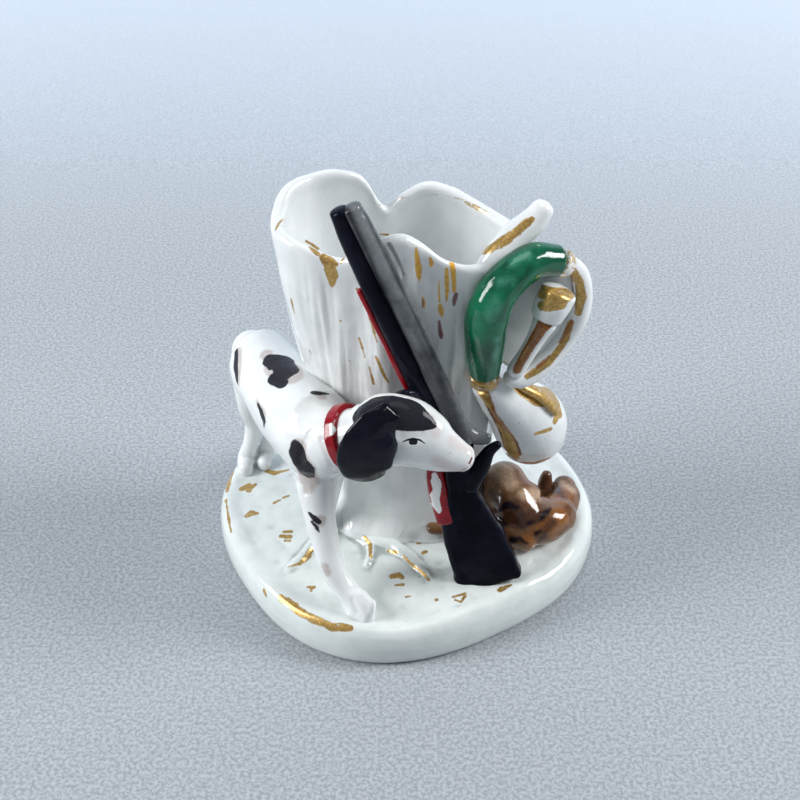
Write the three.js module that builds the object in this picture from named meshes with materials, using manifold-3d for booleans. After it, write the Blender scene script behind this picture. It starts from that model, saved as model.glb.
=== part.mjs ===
// Porcelain spill vase with a hunting group: an open tree stump on a plinth, with a pointer, a double gun, a hunting
// horn and a dead hare. Millimetres, +Z up, the viewer's side is -Y. The origin is under the middle of the plinth.
// Each piece is slip cast by itself and joined with liquid clay, so each is its own solid with a seam round it.
import * as THREE from "three";
import { mergeVertices } from "three/addons/utils/BufferGeometryUtils.js";
import Module from "manifold-3d";

const wasm = await Module();
wasm.setup();

// Driving dimensions in millimetres, angles in degrees
const seam = 0.3; // left between two pieces that meet
const smallestDetail = 0.11; // slivers below it are smoothed away

const plinthLength = 96;
const plinthWidth = 92;
const plinthTurn = 30; // how far the long side is turned from +X
const plinthSquareness = 2.45; // 2 would be an ellipse
const plinthHeight = 11.5; // to the lip round the ground
const plinthSides = 56;
const lipWidth = 3.6;
const groundRise = 2; // of the middle of the ground above the lip
const footRingWidth = 5;
const recessDepth = 3;

const vaseHeight = 102; // of the highest lobe of the torn rim
const vaseFootWidth = 52;
const vaseWaistWidth = 45;
const vaseWaistDepth = 36;
const vaseWall = 2.4;
const vaseFloor = 22; // height of the cavity's floor
const barkFlutes = 14;
const barkDepth = 0.45;

const barrelRadius = 2.15;
const gunLength = 105;
const stockThickness = 5;
const strapThickness = 1.3;

const dogHeight = 57; // from the ground to the crown
const hareLength = 36; // without the ears
const hornDrop = 64; // from the branch's foot to the lip of the bell
const collarThickness = 0.9;
const legRadius = 1.65; // of the dog's hind legs above the paw
const hornTubeRadius = 1.9;
const sleeveRadius = 4.5;
const bellRadius = 9.4;
const cupRadius = 4.3;
const branchRadius = 2.7;

// The torn rim, every 15 degrees from +X towards +Y: reach from the vase's axis and drop below the highest lobe
const rim = [
  [28, 9.4], [27.2, 11], [26.2, 11.8], [25, 10.8], [23.4, 8.6], [21.7, 7.6],
  [20, 9.6], [19.4, 12.6], [20.4, 8], [22.8, 2], [26.3, 1], [29, 1.6],
  [29.8, 4.6], [29.6, 4.6], [26.4, 5.6], [22, 7.4], [20, 5.2], [19.4, 0.8],
  [18.2, 0.2], [18, 3], [20, 7], [23.5, 8.6], [26.6, 7], [28.8, 5.6],
];
const rimStep = 360 / rim.length;
const vaseAxis = new THREE.Vector2(-0.5, 1.5);

const up = new THREE.Vector3(0, 0, 1);
const front = new THREE.Vector3(0, -1, 0);
const radians = THREE.MathUtils.degToRad;
const mix = THREE.MathUtils.lerp;
const ease = THREE.MathUtils.smoothstep;

// Solids, skins and lofts

function solidOf(geometry) {
  const bare = geometry.clone();
  bare.deleteAttribute("normal");
  bare.deleteAttribute("uv");
  const merged = mergeVertices(bare, 1e-4);
  const vertProperties = merged.attributes.position.array;
  const triVerts = new Uint32Array(merged.index.array);
  return new wasm.Manifold(new wasm.Mesh({ numProp: 3, vertProperties, triVerts }));
}

function geometryOf(solid) {
  const mesh = solid.getMesh();
  const geometry = new THREE.BufferGeometry();
  geometry.setAttribute("position", new THREE.BufferAttribute(mesh.vertProperties, 3));
  geometry.setIndex(new THREE.BufferAttribute(mesh.triVerts, 1));
  geometry.computeVertexNormals();
  return geometry;
}

// A closed skin over rings of points, with a pole at each end
function skin(rings, startPole, endPole) {
  const sides = rings[0].length;
  const points = [startPole, ...rings.flat(), endPole];
  const last = points.length - 1;
  const at = (ring, side) => 1 + ring * sides + (side % sides);
  const faces = [];
  for (let side = 0; side < sides; side++) {
    faces.push(0, at(0, side + 1), at(0, side));
    faces.push(last, at(rings.length - 1, side), at(rings.length - 1, side + 1));
    for (let ring = 0; ring < rings.length - 1; ring++) {
      const corners = [at(ring, side), at(ring, side + 1), at(ring + 1, side + 1), at(ring + 1, side)];
      faces.push(corners[0], corners[1], corners[2], corners[0], corners[2], corners[3]);
    }
  }
  const geometry = new THREE.BufferGeometry();
  const positions = points.flatMap((point) => point.toArray());
  geometry.setAttribute("position", new THREE.Float32BufferAttribute(positions, 3));
  geometry.setIndex(faces);
  return solidOf(geometry);
}

// A rounded body along stations [x, y, z, half width, half height]; the half height points along `top`
function loft(stations, { grow = 0, top = up, sides = 12, spans = 2, dome = 1 } = {}) {
  const path = new THREE.CatmullRomCurve3(stations.map(([x, y, z]) => new THREE.Vector3(x, y, z)));
  const halves = stations.map(([, , , wide, tall = wide]) => new THREE.Vector3(wide + grow, tall + grow, 0));
  const girth = new THREE.CatmullRomCurve3(halves, false, "catmullrom");
  const steps = (stations.length - 1) * spans;

  const ringAt = (share, shift, scale) => {
    const along = path.getTangent(share);
    const high = top.clone().addScaledVector(along, -top.dot(along)).normalize();
    const side = high.clone().cross(along);
    const half = girth.getPoint(share);
    const middle = path.getPoint(share).addScaledVector(along, shift);
    return Array.from({ length: sides }, (_, index) => {
      const angle = (2 * Math.PI * index) / sides;
      return middle.clone()
        .addScaledVector(side, Math.cos(angle) * half.x * scale)
        .addScaledVector(high, Math.sin(angle) * half.y * scale);
    });
  };
  const domeAt = (share, turn) => {
    const half = girth.getPoint(share);
    const height = Math.min(half.x, half.y) * dome + (dome < 1 ? grow : 0);
    const rings = [30, 60].map((lift) => {
      return ringAt(share, turn * height * Math.sin(radians(lift)), Math.cos(radians(lift)));
    });
    const pole = path.getPoint(share).addScaledVector(path.getTangent(share), turn * height);
    return { rings, pole };
  };

  const start = domeAt(0, -1);
  const end = domeAt(1, 1);
  const body = Array.from({ length: steps + 1 }, (_, step) => ringAt(step / steps, 0, 1));
  return skin([...start.rings.reverse(), ...body, ...end.rings], start.pole, end.pole);
}

// Plinth

const plinthAngle = radians(plinthTurn);

// How far out a place lies on the plinth: 0 in the middle, 1 on its outline
function plinthShare(x, y) {
  const long = Math.abs(x * Math.cos(plinthAngle) + y * Math.sin(plinthAngle)) / (plinthLength / 2);
  const wide = Math.abs(y * Math.cos(plinthAngle) - x * Math.sin(plinthAngle)) / (plinthWidth / 2);
  return (long ** plinthSquareness + wide ** plinthSquareness) ** (1 / plinthSquareness);
}

// The top of the plinth as [distance in from the outline, height above the lip's foot]
const plinthReach = (plinthLength + plinthWidth) / 4;
const groundProfile = [
  [1.8, -0.5],
  [lipWidth, 0],
  [lipWidth * 1.8, -0.5],
  [plinthReach * 0.3, groundRise * 0.3],
  [plinthReach * 0.55, groundRise * 0.75],
  [plinthReach, groundRise],
];

function groundHeight(x, y) {
  const inset = (1 - plinthShare(x, y)) * plinthReach;
  const next = groundProfile.findIndex(([distance]) => distance >= inset);
  if (next < 1) return plinthHeight + groundProfile[Math.max(next, 0)][1];
  const [[near, low], [far, high]] = [groundProfile[next - 1], groundProfile[next]];
  return plinthHeight + mix(low, high, (inset - near) / (far - near));
}

// A spot on the ground from shares of the plinth's half length and half width
function groundSpot(shareX, shareY) {
  const x = (shareX * plinthLength) / 2;
  const y = (shareY * plinthWidth) / 2;
  return new THREE.Vector3(x, y, groundHeight(x, y));
}

function plinthRing(inset, z, grow) {
  const share = 1 - (inset - grow) / plinthReach;
  return Array.from({ length: plinthSides }, (_, index) => {
    const angle = (2 * Math.PI * index) / plinthSides;
    const x = Math.cos(angle);
    const y = Math.sin(angle);
    const reach = share / plinthShare(x, y);
    return new THREE.Vector3(x * reach, y * reach, z);
  });
}

function plinth({ grow = 0 } = {}) {
  const under = [[footRingWidth + 2, recessDepth], [footRingWidth, 0], [1.2, 0]];
  const wall = [[0.2, 2.5], [0, 5.5], [0.5, plinthHeight - 2.5]];
  const ground = groundProfile.slice(0, -1).map(([inset, rise]) => [inset, plinthHeight + rise + grow]);
  const rings = [...under, ...wall, ...ground].map(([inset, z]) => plinthRing(inset, z, grow));
  const recessMiddle = new THREE.Vector3(0, 0, recessDepth);
  const groundMiddle = new THREE.Vector3(0, 0, plinthHeight + groundRise + grow);
  return skin(rings, recessMiddle, groundMiddle);
}

// Roots and twigs that lie half sunk in the ground, through shares of the plinth's half length and half width
function groundRidge(spots, thickness, { grow = 0 } = {}) {
  const stations = spots.map(([x, y, size]) => {
    const spot = groundSpot(x, y);
    return [spot.x, spot.y, spot.z + thickness * 0.2, thickness * size, thickness * size * 0.8];
  });
  return loft(stations, { grow, sides: 10 });
}

const rootFront = (options) => {
  return groundRidge([[-0.37, -0.2, 0.7], [-0.2, -0.4, 1], [-0.07, -0.44, 0.9], [0.12, -0.66, 0.4]], 2, options);
};
const rootSide = (options) => {
  return groundRidge([[-0.2, -0.4, 0.7], [-0.185, -0.48, 0.7], [-0.2, -0.58, 0.4]], 1.6, options);
};
const groundTwig = (options) => {
  return groundRidge([[-0.62, -0.6, 0.4], [-0.555, -0.52, 0.9], [-0.49, -0.4, 0.8]], 1.3, options);
};

// Stump vase

function rimAt(degrees) {
  const place = (((degrees % 360) + 360) % 360) / rimStep;
  const before = Math.floor(place);
  const near = [-1, 0, 1, 2].map((shift) => rim[(before + shift + rim.length) % rim.length]);
  const curve = new THREE.CatmullRomCurve3(near.map(([reach, drop]) => new THREE.Vector3(reach, drop, 0)));
  curve.curveType = "catmullrom";
  const point = curve.getPoint((1 + place - before) / 3);
  return { reach: point.x, height: vaseHeight - point.y };
}

// A point on the outer edge of the rim, pushed outwards by `out`
function rimPoint(degrees, out = 0) {
  const { reach, height } = rimAt(degrees);
  const x = vaseAxis.x + (reach + out) * Math.cos(radians(degrees));
  const y = vaseAxis.y + (reach + out) * Math.sin(radians(degrees));
  return new THREE.Vector3(x, y, height);
}

// The trunk's reach from the vase's axis, `rise` 0 at its foot and 1 at the rim
function trunkReach(degrees, rise) {
  const turn = radians(degrees);
  const flare = ((vaseFootWidth - vaseWaistWidth) / 2) * (1 - ease(rise, 0, 0.16));
  const half = vaseWaistWidth / 2 + flare;
  const deep = vaseWaistDepth / 2 + flare * 0.5;
  const waist = 1 / Math.hypot(Math.cos(turn) / half, Math.sin(turn) / deep);
  const bark = barkDepth * Math.cos(barkFlutes * turn + 1.5 * Math.sin(2 * turn)) * Math.sin(Math.PI * rise);
  return mix(waist, rimAt(degrees).reach, ease(rise, 0.28, 0.96)) + bark;
}

function trunkRing(rise, bottom, inwards, lift = 0) {
  const sides = 4 * barkFlutes;
  return Array.from({ length: sides }, (_, index) => {
    const degrees = (360 * index) / sides;
    const reach = trunkReach(degrees, rise) - inwards;
    const x = vaseAxis.x + reach * Math.cos(radians(degrees));
    const y = vaseAxis.y + reach * Math.sin(radians(degrees));
    return new THREE.Vector3(x, y, mix(bottom, rimAt(degrees).height, rise) + lift);
  });
}

function stumpVase({ grow = 0 } = {}) {
  const foot = plinthHeight - 1;
  const outer = [0, 0.08, 0.16, 0.3, 0.45, 0.6, 0.75, 0.88, 0.98];
  const inner = [0.97, 0.8, 0.55, 0.3, 0.06];
  const outside = outer.map((rise) => trunkRing(rise, foot, -grow));
  const lip = [0.3, 0.7].map((share) => trunkRing(1, foot, vaseWall * share, grow));
  const inside = inner.map((rise) => trunkRing(rise, vaseFloor, vaseWall * (1.5 - 0.5 * rise) + grow));
  const corner = trunkRing(0.01, vaseFloor, vaseWall * 2.5 + grow, grow);
  const footMiddle = new THREE.Vector3(vaseAxis.x, vaseAxis.y, foot);
  const floorMiddle = new THREE.Vector3(vaseAxis.x, vaseAxis.y, vaseFloor + grow);
  return skin([...outside, ...lip, ...inside, corner], footMiddle, floorMiddle);
}

// The stations of a figure are measured from its own spot, and its scale fits them to its driving dimension
const measuredFrom = (spot, scale, stations) => stations.map((station) => {
  const [x, y, z, ...halves] = station.map((value) => value * scale);
  return [spot.x + x, spot.y + y, spot.z + z, ...halves];
});

// The broken branch grows out of the rim, and the horn hangs from it
const branchRoot = rimPoint(326, -2);
const hornScale = hornDrop / 64;

function branchStub(options) {
  const stations = [
    [-2, -1.5, -3, 0.8], [1.4, 0.8, 0, 1.1], [5.6, 4.2, 2.6, 1.25], [9.2, 6, 5, 1.15], [11.2, 6.8, 7.6, 0.95],
  ].map(([x, y, z, size]) => [x, y, z, branchRadius * size]);
  return loft(measuredFrom(branchRoot, hornScale, stations), options);
}

// Dog, measured from a spot on the ground between its paws and drawn 57 mm high
const dogScale = dogHeight / 57;
const dogSpot = groundSpot(-0.625, -0.217);
const dogLoft = (stations, options) => loft(measuredFrom(dogSpot, dogScale, stations), options);

const neck = [14.8, -17.4, 42, 7.2];
const neckEnd = [19.8, -19.5, 45, 6.4];

function dogTorso(options) {
  const stations = [
    [-9.6, 25.6, 36, 5.6], [-7.4, 21.5, 36, 8.6, 9.2], [-2.2, 11, 35.8, 9.4, 10], [4, -1, 36.6, 10, 10.8],
    [10, -11.5, 38, 9.8, 10.8],
    neck, neckEnd,
  ];
  return dogLoft(stations, { ...options, sides: 14 });
}

function dogCollar({ grow = 0 } = {}) {
  const place = (share) => neck.map((value, index) => mix(value, neckEnd[index], share));
  const band = [place(0.3), place(0.65)].map(([x, y, z, half]) => [x, y, z, half + seam + collarThickness]);
  return dogLoft(band, { grow, sides: 18, spans: 1, dome: 0.12 });
}

function dogHead(options) {
  const stations = [
    [21, -19, 46.5, 6], [25.5, -21, 48, 6.6, 8.8], [30, -22, 47.6, 6.4, 9.2], [34, -22.6, 46, 5.6, 7.8],
    [37.3, -23, 44, 4.6, 6.4], [40.2, -23.2, 42.6, 3.9, 4.9], [43.2, -23.4, 41.4, 3, 3.2],
  ];
  return dogLoft(stations, { ...options, sides: 14, dome: 0.8 });
}

function dogEarRight(options) {
  const stations = [
    [27, -25, 55.4, 3.6, 1.6], [24, -27.6, 53, 5.6, 1.8], [21.6, -29, 48.6, 6.4, 1.9], [20.8, -29, 43.6, 6, 1.8],
    [21.6, -28, 40, 4, 1.5],
  ];
  return dogLoft(stations, { ...options, top: front, sides: 10 });
}

function dogEarLeft(options) {
  const stations = [
    [28.5, -17.5, 54.4, 3, 1.4], [30, -15.5, 51.5, 4.2, 1.5], [30.5, -14.6, 46.5, 4.6, 1.6], [31, -15, 41.5, 3.2, 1.4],
  ];
  return dogLoft(stations, { ...options, top: front, sides: 10 });
}

function dogForelegRight(options) {
  const stations = [
    [8.4, -12, 33, 5.4], [8.8, -17, 24, 4.3], [10.4, -22, 15, 3.2], [13, -26, 7, 2.9], [16.4, -28.5, 3, 2.9],
    [20, -30.5, 1.7, 3.2, 2.5], [23.6, -31.8, 1, 2.6, 1.9],
  ];
  return dogLoft(stations, options);
}

function dogForelegLeft(options) {
  const stations = [
    [13, -8, 31, 5], [11.5, -6.5, 20, 3.2], [10.2, -5, 10, 2.4], [9, -4.4, 4, 2.2], [8.6, -6, 1.6, 2.4, 2],
    [9.4, -9, 0.8, 2.2, 1.7],
  ];
  return dogLoft(stations, options);
}

// A hind leg from the hip over the knee and the hock to the toe
function dogHindleg(x, y, options) {
  const stations = [
    [3.4, 1.5, 33, 6], [2.2, 0.5, 27, 4.6], [1.2, 0.5, 20, 1.75 * legRadius], [1.6, 2.4, 12.6, 1.15 * legRadius],
    [0.4, 2, 6, legRadius], [-1, 1.4, 1.5, 1.25 * legRadius, 1.1 * legRadius], [-1, -2.2, 0.8, 1.1 * legRadius],
  ].map(([dx, dy, ...rest]) => [x + dx, y + dy, ...rest]);
  return dogLoft(stations, { ...options, top: front, sides: 10 });
}
const dogHindlegRight = (options) => dogHindleg(-12.6, 21.8, options);
const dogHindlegLeft = (options) => dogHindleg(-7.8, 24, options);

function dogTail(options) {
  const stations = [[-9.5, 27, 38.5, 2.3], [-11, 31, 35.5, 2], [-10.6, 32.6, 29, 1.6], [-9.8, 32.4, 22, 1]];
  return dogLoft(stations, { ...options, sides: 10 });
}

// Gun, drawn in its own plane: `across` to the viewer's right and `along` from the butt to the muzzle
const gunButt = groundSpot(0.427, -0.659);
const gunRest = rimPoint(249, barrelRadius + seam);
const gunAlong = gunRest.clone().sub(gunButt).normalize();
const gunFace = front.clone().addScaledVector(gunAlong, -front.dot(gunAlong)).normalize();
const gunAcross = gunAlong.clone().cross(gunFace);
const stockLength = gunLength * 0.381;

function gunPoint(across, along, out = 0) {
  return gunButt.clone()
    .addScaledVector(gunAcross, across)
    .addScaledVector(gunAlong, along)
    .addScaledVector(gunFace, out);
}

const gunLoft = (stations, options) => {
  const placed = stations.map(([across, along, out, ...halves]) => [...gunPoint(across, along, out), ...halves]);
  return loft(placed, { top: gunFace, ...options });
};

// The line between the barrels crosses the stock's middle line on its way to the muzzle
const barrelAcross = (along) => mix(4.4, -1.2, (along - stockLength) / (gunLength - stockLength));

// One of the two barrels: side -1 is the left one and 1 the right one
function gunBarrel(side, options) {
  const shift = side * (barrelRadius + seam / 2);
  const stations = [
    [barrelAcross(stockLength + 1) + shift, stockLength + 1, 0, barrelRadius],
    [barrelAcross(gunLength * 0.83) + shift, gunLength * 0.83, 0, barrelRadius],
    [barrelAcross(gunLength - 1) + shift * 0.88, gunLength - 1, 0, barrelRadius * 0.86],
  ];
  return gunLoft(stations, { ...options, spans: 1, dome: 0.4 });
}
const gunBarrelLeft = (options) => gunBarrel(-1, options);
const gunBarrelRight = (options) => gunBarrel(1, options);

// The stock's outline from the heel of the butt round by the wrist to the breech
function gunStock({ grow = 0 } = {}) {
  const wrist = stockLength * 0.6;
  const outline = new THREE.Shape();
  outline.moveTo(-8 - grow, -1 - grow);
  outline.lineTo(8.8 + grow, -1 - grow);
  outline.quadraticCurveTo(8.8 + grow, stockLength * 0.35, 4.9 + grow, wrist);
  outline.quadraticCurveTo(5.4 + grow, stockLength * 0.78, 8.6 + grow, stockLength + grow);
  outline.lineTo(0.2 - grow, stockLength + grow);
  outline.quadraticCurveTo(-1.4 - grow, stockLength * 0.65, -6 - grow, stockLength * 0.5);
  outline.quadraticCurveTo(-7.4 - grow, stockLength * 0.28, -8 - grow, -1 - grow);
  const bevel = 1.2;
  const depth = stockThickness - 2 * bevel + 2 * grow;
  const shape = new THREE.ExtrudeGeometry(outline, {
    depth, curveSegments: 8, bevelThickness: bevel, bevelSize: bevel, bevelOffset: -bevel, bevelSegments: 2,
  });
  shape.translate(0, 0, -depth / 2);
  const turn = new THREE.Matrix4().makeBasis(gunAcross, gunAlong, gunAcross.clone().cross(gunAlong));
  shape.applyMatrix4(turn.setPosition(gunButt));
  return solidOf(shape);
}

// Stations whose second value is a share of the stock's length
const alongStock = (stations) => stations.map(([across, share, ...rest]) => [across, share * stockLength, ...rest]);

function gunLock(options) {
  const stations = [[7, 1.175, 0, 1.2], [8.3, 1.05, 0, 1.9], [11.4, 1, 0, 1.5, 1.2]];
  return gunLoft(alongStock(stations), options);
}

function gunHammer(options) {
  const stations = [[6.2, 0.7625, 0.4, 2], [8.7, 0.85, 0.4, 1.7], [11.4, 0.92, 0.4, 1.3], [13.4, 0.95, 0.4, 1]];
  return gunLoft(alongStock(stations), options);
}

// The moulded sling lies against the left side of the gun
function gunSling(options) {
  const besideBarrel = (along) => barrelAcross(along) - 2 * barrelRadius - seam - 0.35;
  const stations = [
    [besideBarrel(gunLength * 0.81), gunLength * 0.81, 0, 0.75],
    [besideBarrel(gunLength * 0.6), gunLength * 0.6, 0, 0.85],
    [besideBarrel(stockLength * 1.1), stockLength * 1.1, 0, 1.1],
    [-3.4, stockLength * 0.8, 0.8, 2, strapThickness],
    [-4.4, stockLength * 0.525, 1.4, 2.1, strapThickness],
  ];
  return gunLoft(stations, { ...options, sides: 10 });
}

// Horn, measured from the foot of the branch that it hangs on and drawn for a drop of 64 mm
const hornLoft = (stations, options) => {
  return loft(measuredFrom(branchRoot, hornScale, stations), { top: front, ...options });
};

// The bell, with the shallow hollow of its mouth
function hornBell({ grow = 0 } = {}) {
  const stations = [
    [-0.4, -3, -33.6, 3.7], [3.2, -0.8, -39, 5.4], [7.6, 2.4, -45, 7.8], [11.2, 5, -51.4, bellRadius],
    [12.8, 7, -58, bellRadius * 0.9],
  ];
  const body = hornLoft(stations, { grow, sides: 16, dome: 0.25 });
  if (grow > 0) return body;
  const hollow = [[12.8, 7, -58.4, bellRadius * 0.6], [13.4, 8, -62.4, bellRadius * 0.9]];
  return body.subtract(hornLoft(hollow, { sides: 16, spans: 1, dome: 0.3 }));
}

// The gilded binding that holds the end of the tube on the shoulder of the bell
function hornBinding(options) {
  const stations = [
    [6.8, -1.2, -34.8, 0.9, 1.4], [9.2, -1.1, -36.4, 1.1, 1.8], [11.6, -0.4, -38.2, 1.2, 2.1],
    [14, 0.6, -40.6, 1.3, 2.6], [16, 1, -43, 1.3, 2.8], [17.2, 0.6, -45, 0.9, 2.2],
  ];
  return hornLoft(stations, { ...options, sides: 8 });
}

function hornSleeve(options) {
  const stations = [
    [-1, -4.4, -28.6, sleeveRadius * 0.86], [-1.3, -5.8, -20, sleeveRadius * 1.04],
    [-1.2, -6.2, -13.4, sleeveRadius * 1.12], [0.4, -5.6, -7.6, sleeveRadius * 1.04],
    [5.4, -2.6, -2.7, sleeveRadius * 0.97], [9.4, 0, -1.8, sleeveRadius * 0.93],
    [14.4, 2.4, -3, sleeveRadius * 0.84],
  ];
  return hornLoft(stations, { ...options, dome: 0.35 });
}

function hornFerruleLower(options) {
  const stations = [[-1, -4.1, -30, sleeveRadius * 0.82], [-0.8, -3.5, -32, sleeveRadius * 0.82]];
  return hornLoft(stations, { ...options, sides: 10, spans: 1, dome: 0.2 });
}

function hornFerruleUpper(options) {
  const stations = [[15.6, 2.7, -3.8, sleeveRadius * 0.76], [17, 3, -5, sleeveRadius * 0.66]];
  return hornLoft(stations, { ...options, sides: 10, spans: 1, dome: 0.2 });
}

function hornTube(options) {
  const stations = [
    [16.4, 2.8, -3.4, 1.1], [20.2, 3.6, -7.4, 1], [21.8, 3.2, -13, 1], [20.6, 2, -19.6, 1.05],
    [17.6, 0.6, -26, 1.1], [13.4, -1.8, -30.6, 1.2], [8.4, -4, -33, 1.15], [4.6, -5, -31.4, 1],
  ].map(([x, y, z, size]) => [x, y, z, hornTubeRadius * size]);
  return hornLoft(stations, { ...options, sides: 10 });
}

function hornMouthpipe(options) {
  const stations = [[4.6, -5.2, -29.6, 1.7], [9.2, -4.6, -21, 1.6], [12.2, -4, -15.6, 2.5]];
  return hornLoft(stations, { ...options, sides: 10 });
}

function hornMouthpiece(options) {
  const stations = [[12.6, -3.8, -14, cupRadius * 0.85], [13.8, -3.2, -11, cupRadius], [14.9, -2.6, -8.4, cupRadius]];
  return hornLoft(stations, { ...options, spans: 2, dome: 0.35 });
}

// The strap's end that passes behind the sleeve under the branch
function hornStrap(options) {
  const behind = sleeveRadius - 4.1;
  const stations = [[2.2, behind, -5.4, 1.3], [5, behind + 1.4, -3.8, 1.4], [8, behind + 2.6, -2.6, 1.2]];
  return hornLoft(stations, { ...options, sides: 10 });
}

// Hare, measured from a spot on the ground under it and drawn 36 mm long
const hareScale = hareLength / 36;
const hareSpot = groundSpot(0.625, -0.26);
const hareLoft = (stations, options) => loft(measuredFrom(hareSpot, hareScale, stations), options);

function hareBody(options) {
  const stations = [[-4.4, 4.6, 10.4, 5.8], [-3, 1.6, 8.4, 7.2, 7], [1.4, -1.8, 5, 7.6, 6.6], [5.4, -1.6, 4.2, 5.6, 5]];
  return hareLoft(stations, { ...options, sides: 14 });
}

function hareHindleg(options) {
  const stations = [
    [6, -2, 4.2, 4.8, 4.4], [9.8, 2.4, 3.8, 4.6, 4], [11.8, 7, 3.6, 4, 3.6], [12, 10.4, 4, 3.2, 3],
  ];
  return hareLoft(stations, options);
}

function hareTail(options) {
  return hareLoft([[5.6, 8, 1.5, 1.7], [6.6, 10.4, 5.4, 1.9], [7, 11, 7.6, 1.5]], { ...options, sides: 10 });
}

function hareHead(options) {
  const stations = [[-5.4, -3.6, 4.4, 4.4, 4], [-1.8, -6.4, 3.8, 4.6, 4], [2.4, -8.2, 2.8, 3.4, 3]];
  return hareLoft(stations, options);
}

function hareEarLeft(options) {
  const stations = [[-7.6, -3.4, 3, 1.6, 1.3], [-14.4, -4.8, 3.2, 2, 1.4], [-20.8, -5.8, 4.2, 1.8, 1.3]];
  return hareLoft(stations, { ...options, sides: 10 });
}

function hareEarRight(options) {
  const stations = [[-6.4, -1, 5, 1.4, 1.2], [-11, -2.8, 5.8, 1.8, 1.3], [-15.6, -4.2, 6.2, 1.4, 1.1]];
  return hareLoft(stations, { ...options, sides: 10 });
}

function hareForeleg(options) {
  const stations = [[2.4, -5, 3.4, 2.6, 2.2], [6.4, -6.4, 2.2, 2.2, 1.9], [9.4, -5.4, 1.5, 1.9, 1.6]];
  return hareLoft(stations, { ...options, sides: 10 });
}

// Colours of the glaze and the enamels
const glazes = {
  white: { color: 0xeef0ee, roughness: 0.12, metalness: 0 },
  black: { color: 0x0b0b12, roughness: 0.15, metalness: 0 },
  steel: { color: 0x6d7276, roughness: 0.25, metalness: 0 },
  red: { color: 0xb01220, roughness: 0.2, metalness: 0 },
  green: { color: 0x0c7a4e, roughness: 0.12, metalness: 0 },
  brown: { color: 0x7a4a26, roughness: 0.18, metalness: 0 },
  gold: { color: 0xb8892e, roughness: 0.22, metalness: 0.9 },
};

// In this order each piece gives way to the ones before it
const pieces = [
  ["plinth", plinth, "white"],
  ["stump_vase", stumpVase, "white"],
  ["dog_torso", dogTorso, "white"],
  ["dog_collar", dogCollar, "red"],
  ["dog_head", dogHead, "white"],
  ["dog_ear_right", dogEarRight, "black"],
  ["dog_ear_left", dogEarLeft, "black"],
  ["dog_foreleg_right", dogForelegRight, "white"],
  ["dog_foreleg_left", dogForelegLeft, "white"],
  ["dog_hindleg_right", dogHindlegRight, "white"],
  ["dog_hindleg_left", dogHindlegLeft, "white"],
  ["dog_tail", dogTail, "white"],
  ["gun_stock", gunStock, "black"],
  ["gun_barrel_left", gunBarrelLeft, "black"],
  ["gun_barrel_right", gunBarrelRight, "steel"],
  ["gun_hammer", gunHammer, "black"],
  ["gun_lock", gunLock, "steel"],
  ["gun_sling", gunSling, "red"],
  ["branch_stub", branchStub, "white"],
  ["horn_bell", hornBell, "white"],
  ["horn_binding", hornBinding, "gold"],
  ["horn_ferrule_lower", hornFerruleLower, "gold"],
  ["horn_sleeve", hornSleeve, "green"],
  ["horn_ferrule_upper", hornFerruleUpper, "gold"],
  ["horn_tube", hornTube, "white"],
  ["horn_mouthpiece", hornMouthpiece, "white"],
  ["horn_mouthpipe", hornMouthpipe, "brown"],
  ["horn_strap", hornStrap, "green"],
  ["hare_body", hareBody, "brown"],
  ["hare_head", hareHead, "brown"],
  ["hare_hindleg", hareHindleg, "brown"],
  ["hare_foreleg", hareForeleg, "brown"],
  ["hare_tail", hareTail, "brown"],
  ["hare_ear_left", hareEarLeft, "brown"],
  ["hare_ear_right", hareEarRight, "brown"],
  ["root_front", rootFront, "white"],
  ["root_side", rootSide, "white"],
  ["ground_twig", groundTwig, "white"],
];

const boxesMeet = (one, other) => {
  return [0, 1, 2].every((axis) => one.min[axis] < other.max[axis] && other.min[axis] < one.max[axis]);
};

// The whole of a cut piece is its largest body; what a cut leaves beside it is dropped
function largest(solid) {
  return solid.decompose().reduce((best, body) => (body.volume() > best.volume() ? body : best));
}

const group = new THREE.Group();
const placed = [];
for (const [name, build, glaze] of pieces) {
  let solid = build();
  const box = solid.boundingBox();
  for (const neighbour of placed) {
    if (boxesMeet(box, neighbour.boundingBox())) solid = solid.subtract(neighbour);
  }
  const kept = largest(solid.simplify(smallestDetail));
  placed.push(build({ grow: seam }));
  const mesh = new THREE.Mesh(geometryOf(kept), new THREE.MeshStandardMaterial(glazes[glaze]));
  mesh.name = name;
  group.add(mesh);
}

export default group;
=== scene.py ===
import math

import bmesh
import bpy
import numpy as np
from mathutils import Matrix, Vector, noise
from mathutils.bvhtree import BVHTree


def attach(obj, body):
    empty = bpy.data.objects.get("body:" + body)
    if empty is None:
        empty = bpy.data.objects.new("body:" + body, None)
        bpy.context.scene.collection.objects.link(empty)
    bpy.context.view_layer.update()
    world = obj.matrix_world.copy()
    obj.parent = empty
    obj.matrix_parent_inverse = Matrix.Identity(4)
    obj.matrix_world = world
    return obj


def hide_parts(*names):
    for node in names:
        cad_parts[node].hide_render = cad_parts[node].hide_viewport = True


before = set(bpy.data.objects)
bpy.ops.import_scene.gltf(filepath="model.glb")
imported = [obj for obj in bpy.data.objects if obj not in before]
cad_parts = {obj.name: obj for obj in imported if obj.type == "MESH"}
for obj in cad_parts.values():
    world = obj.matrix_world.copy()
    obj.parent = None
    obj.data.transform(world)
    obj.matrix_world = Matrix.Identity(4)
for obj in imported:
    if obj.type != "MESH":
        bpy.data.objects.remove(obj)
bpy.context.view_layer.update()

up = (0, 0, 1)
front = (0, -1, 0)
metresPerMm = 0.001
mmPerMetre = 1000
seamWeld = 0.002  # mm, corners this near are one
farAway = 9.0  # mm, what a painted distance is cut off at
smoothShare = 0.5
loftValues = {"domeAngles": (15, 32, 48, 62, 74, 84), "tangentStep": 0.02}
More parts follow.
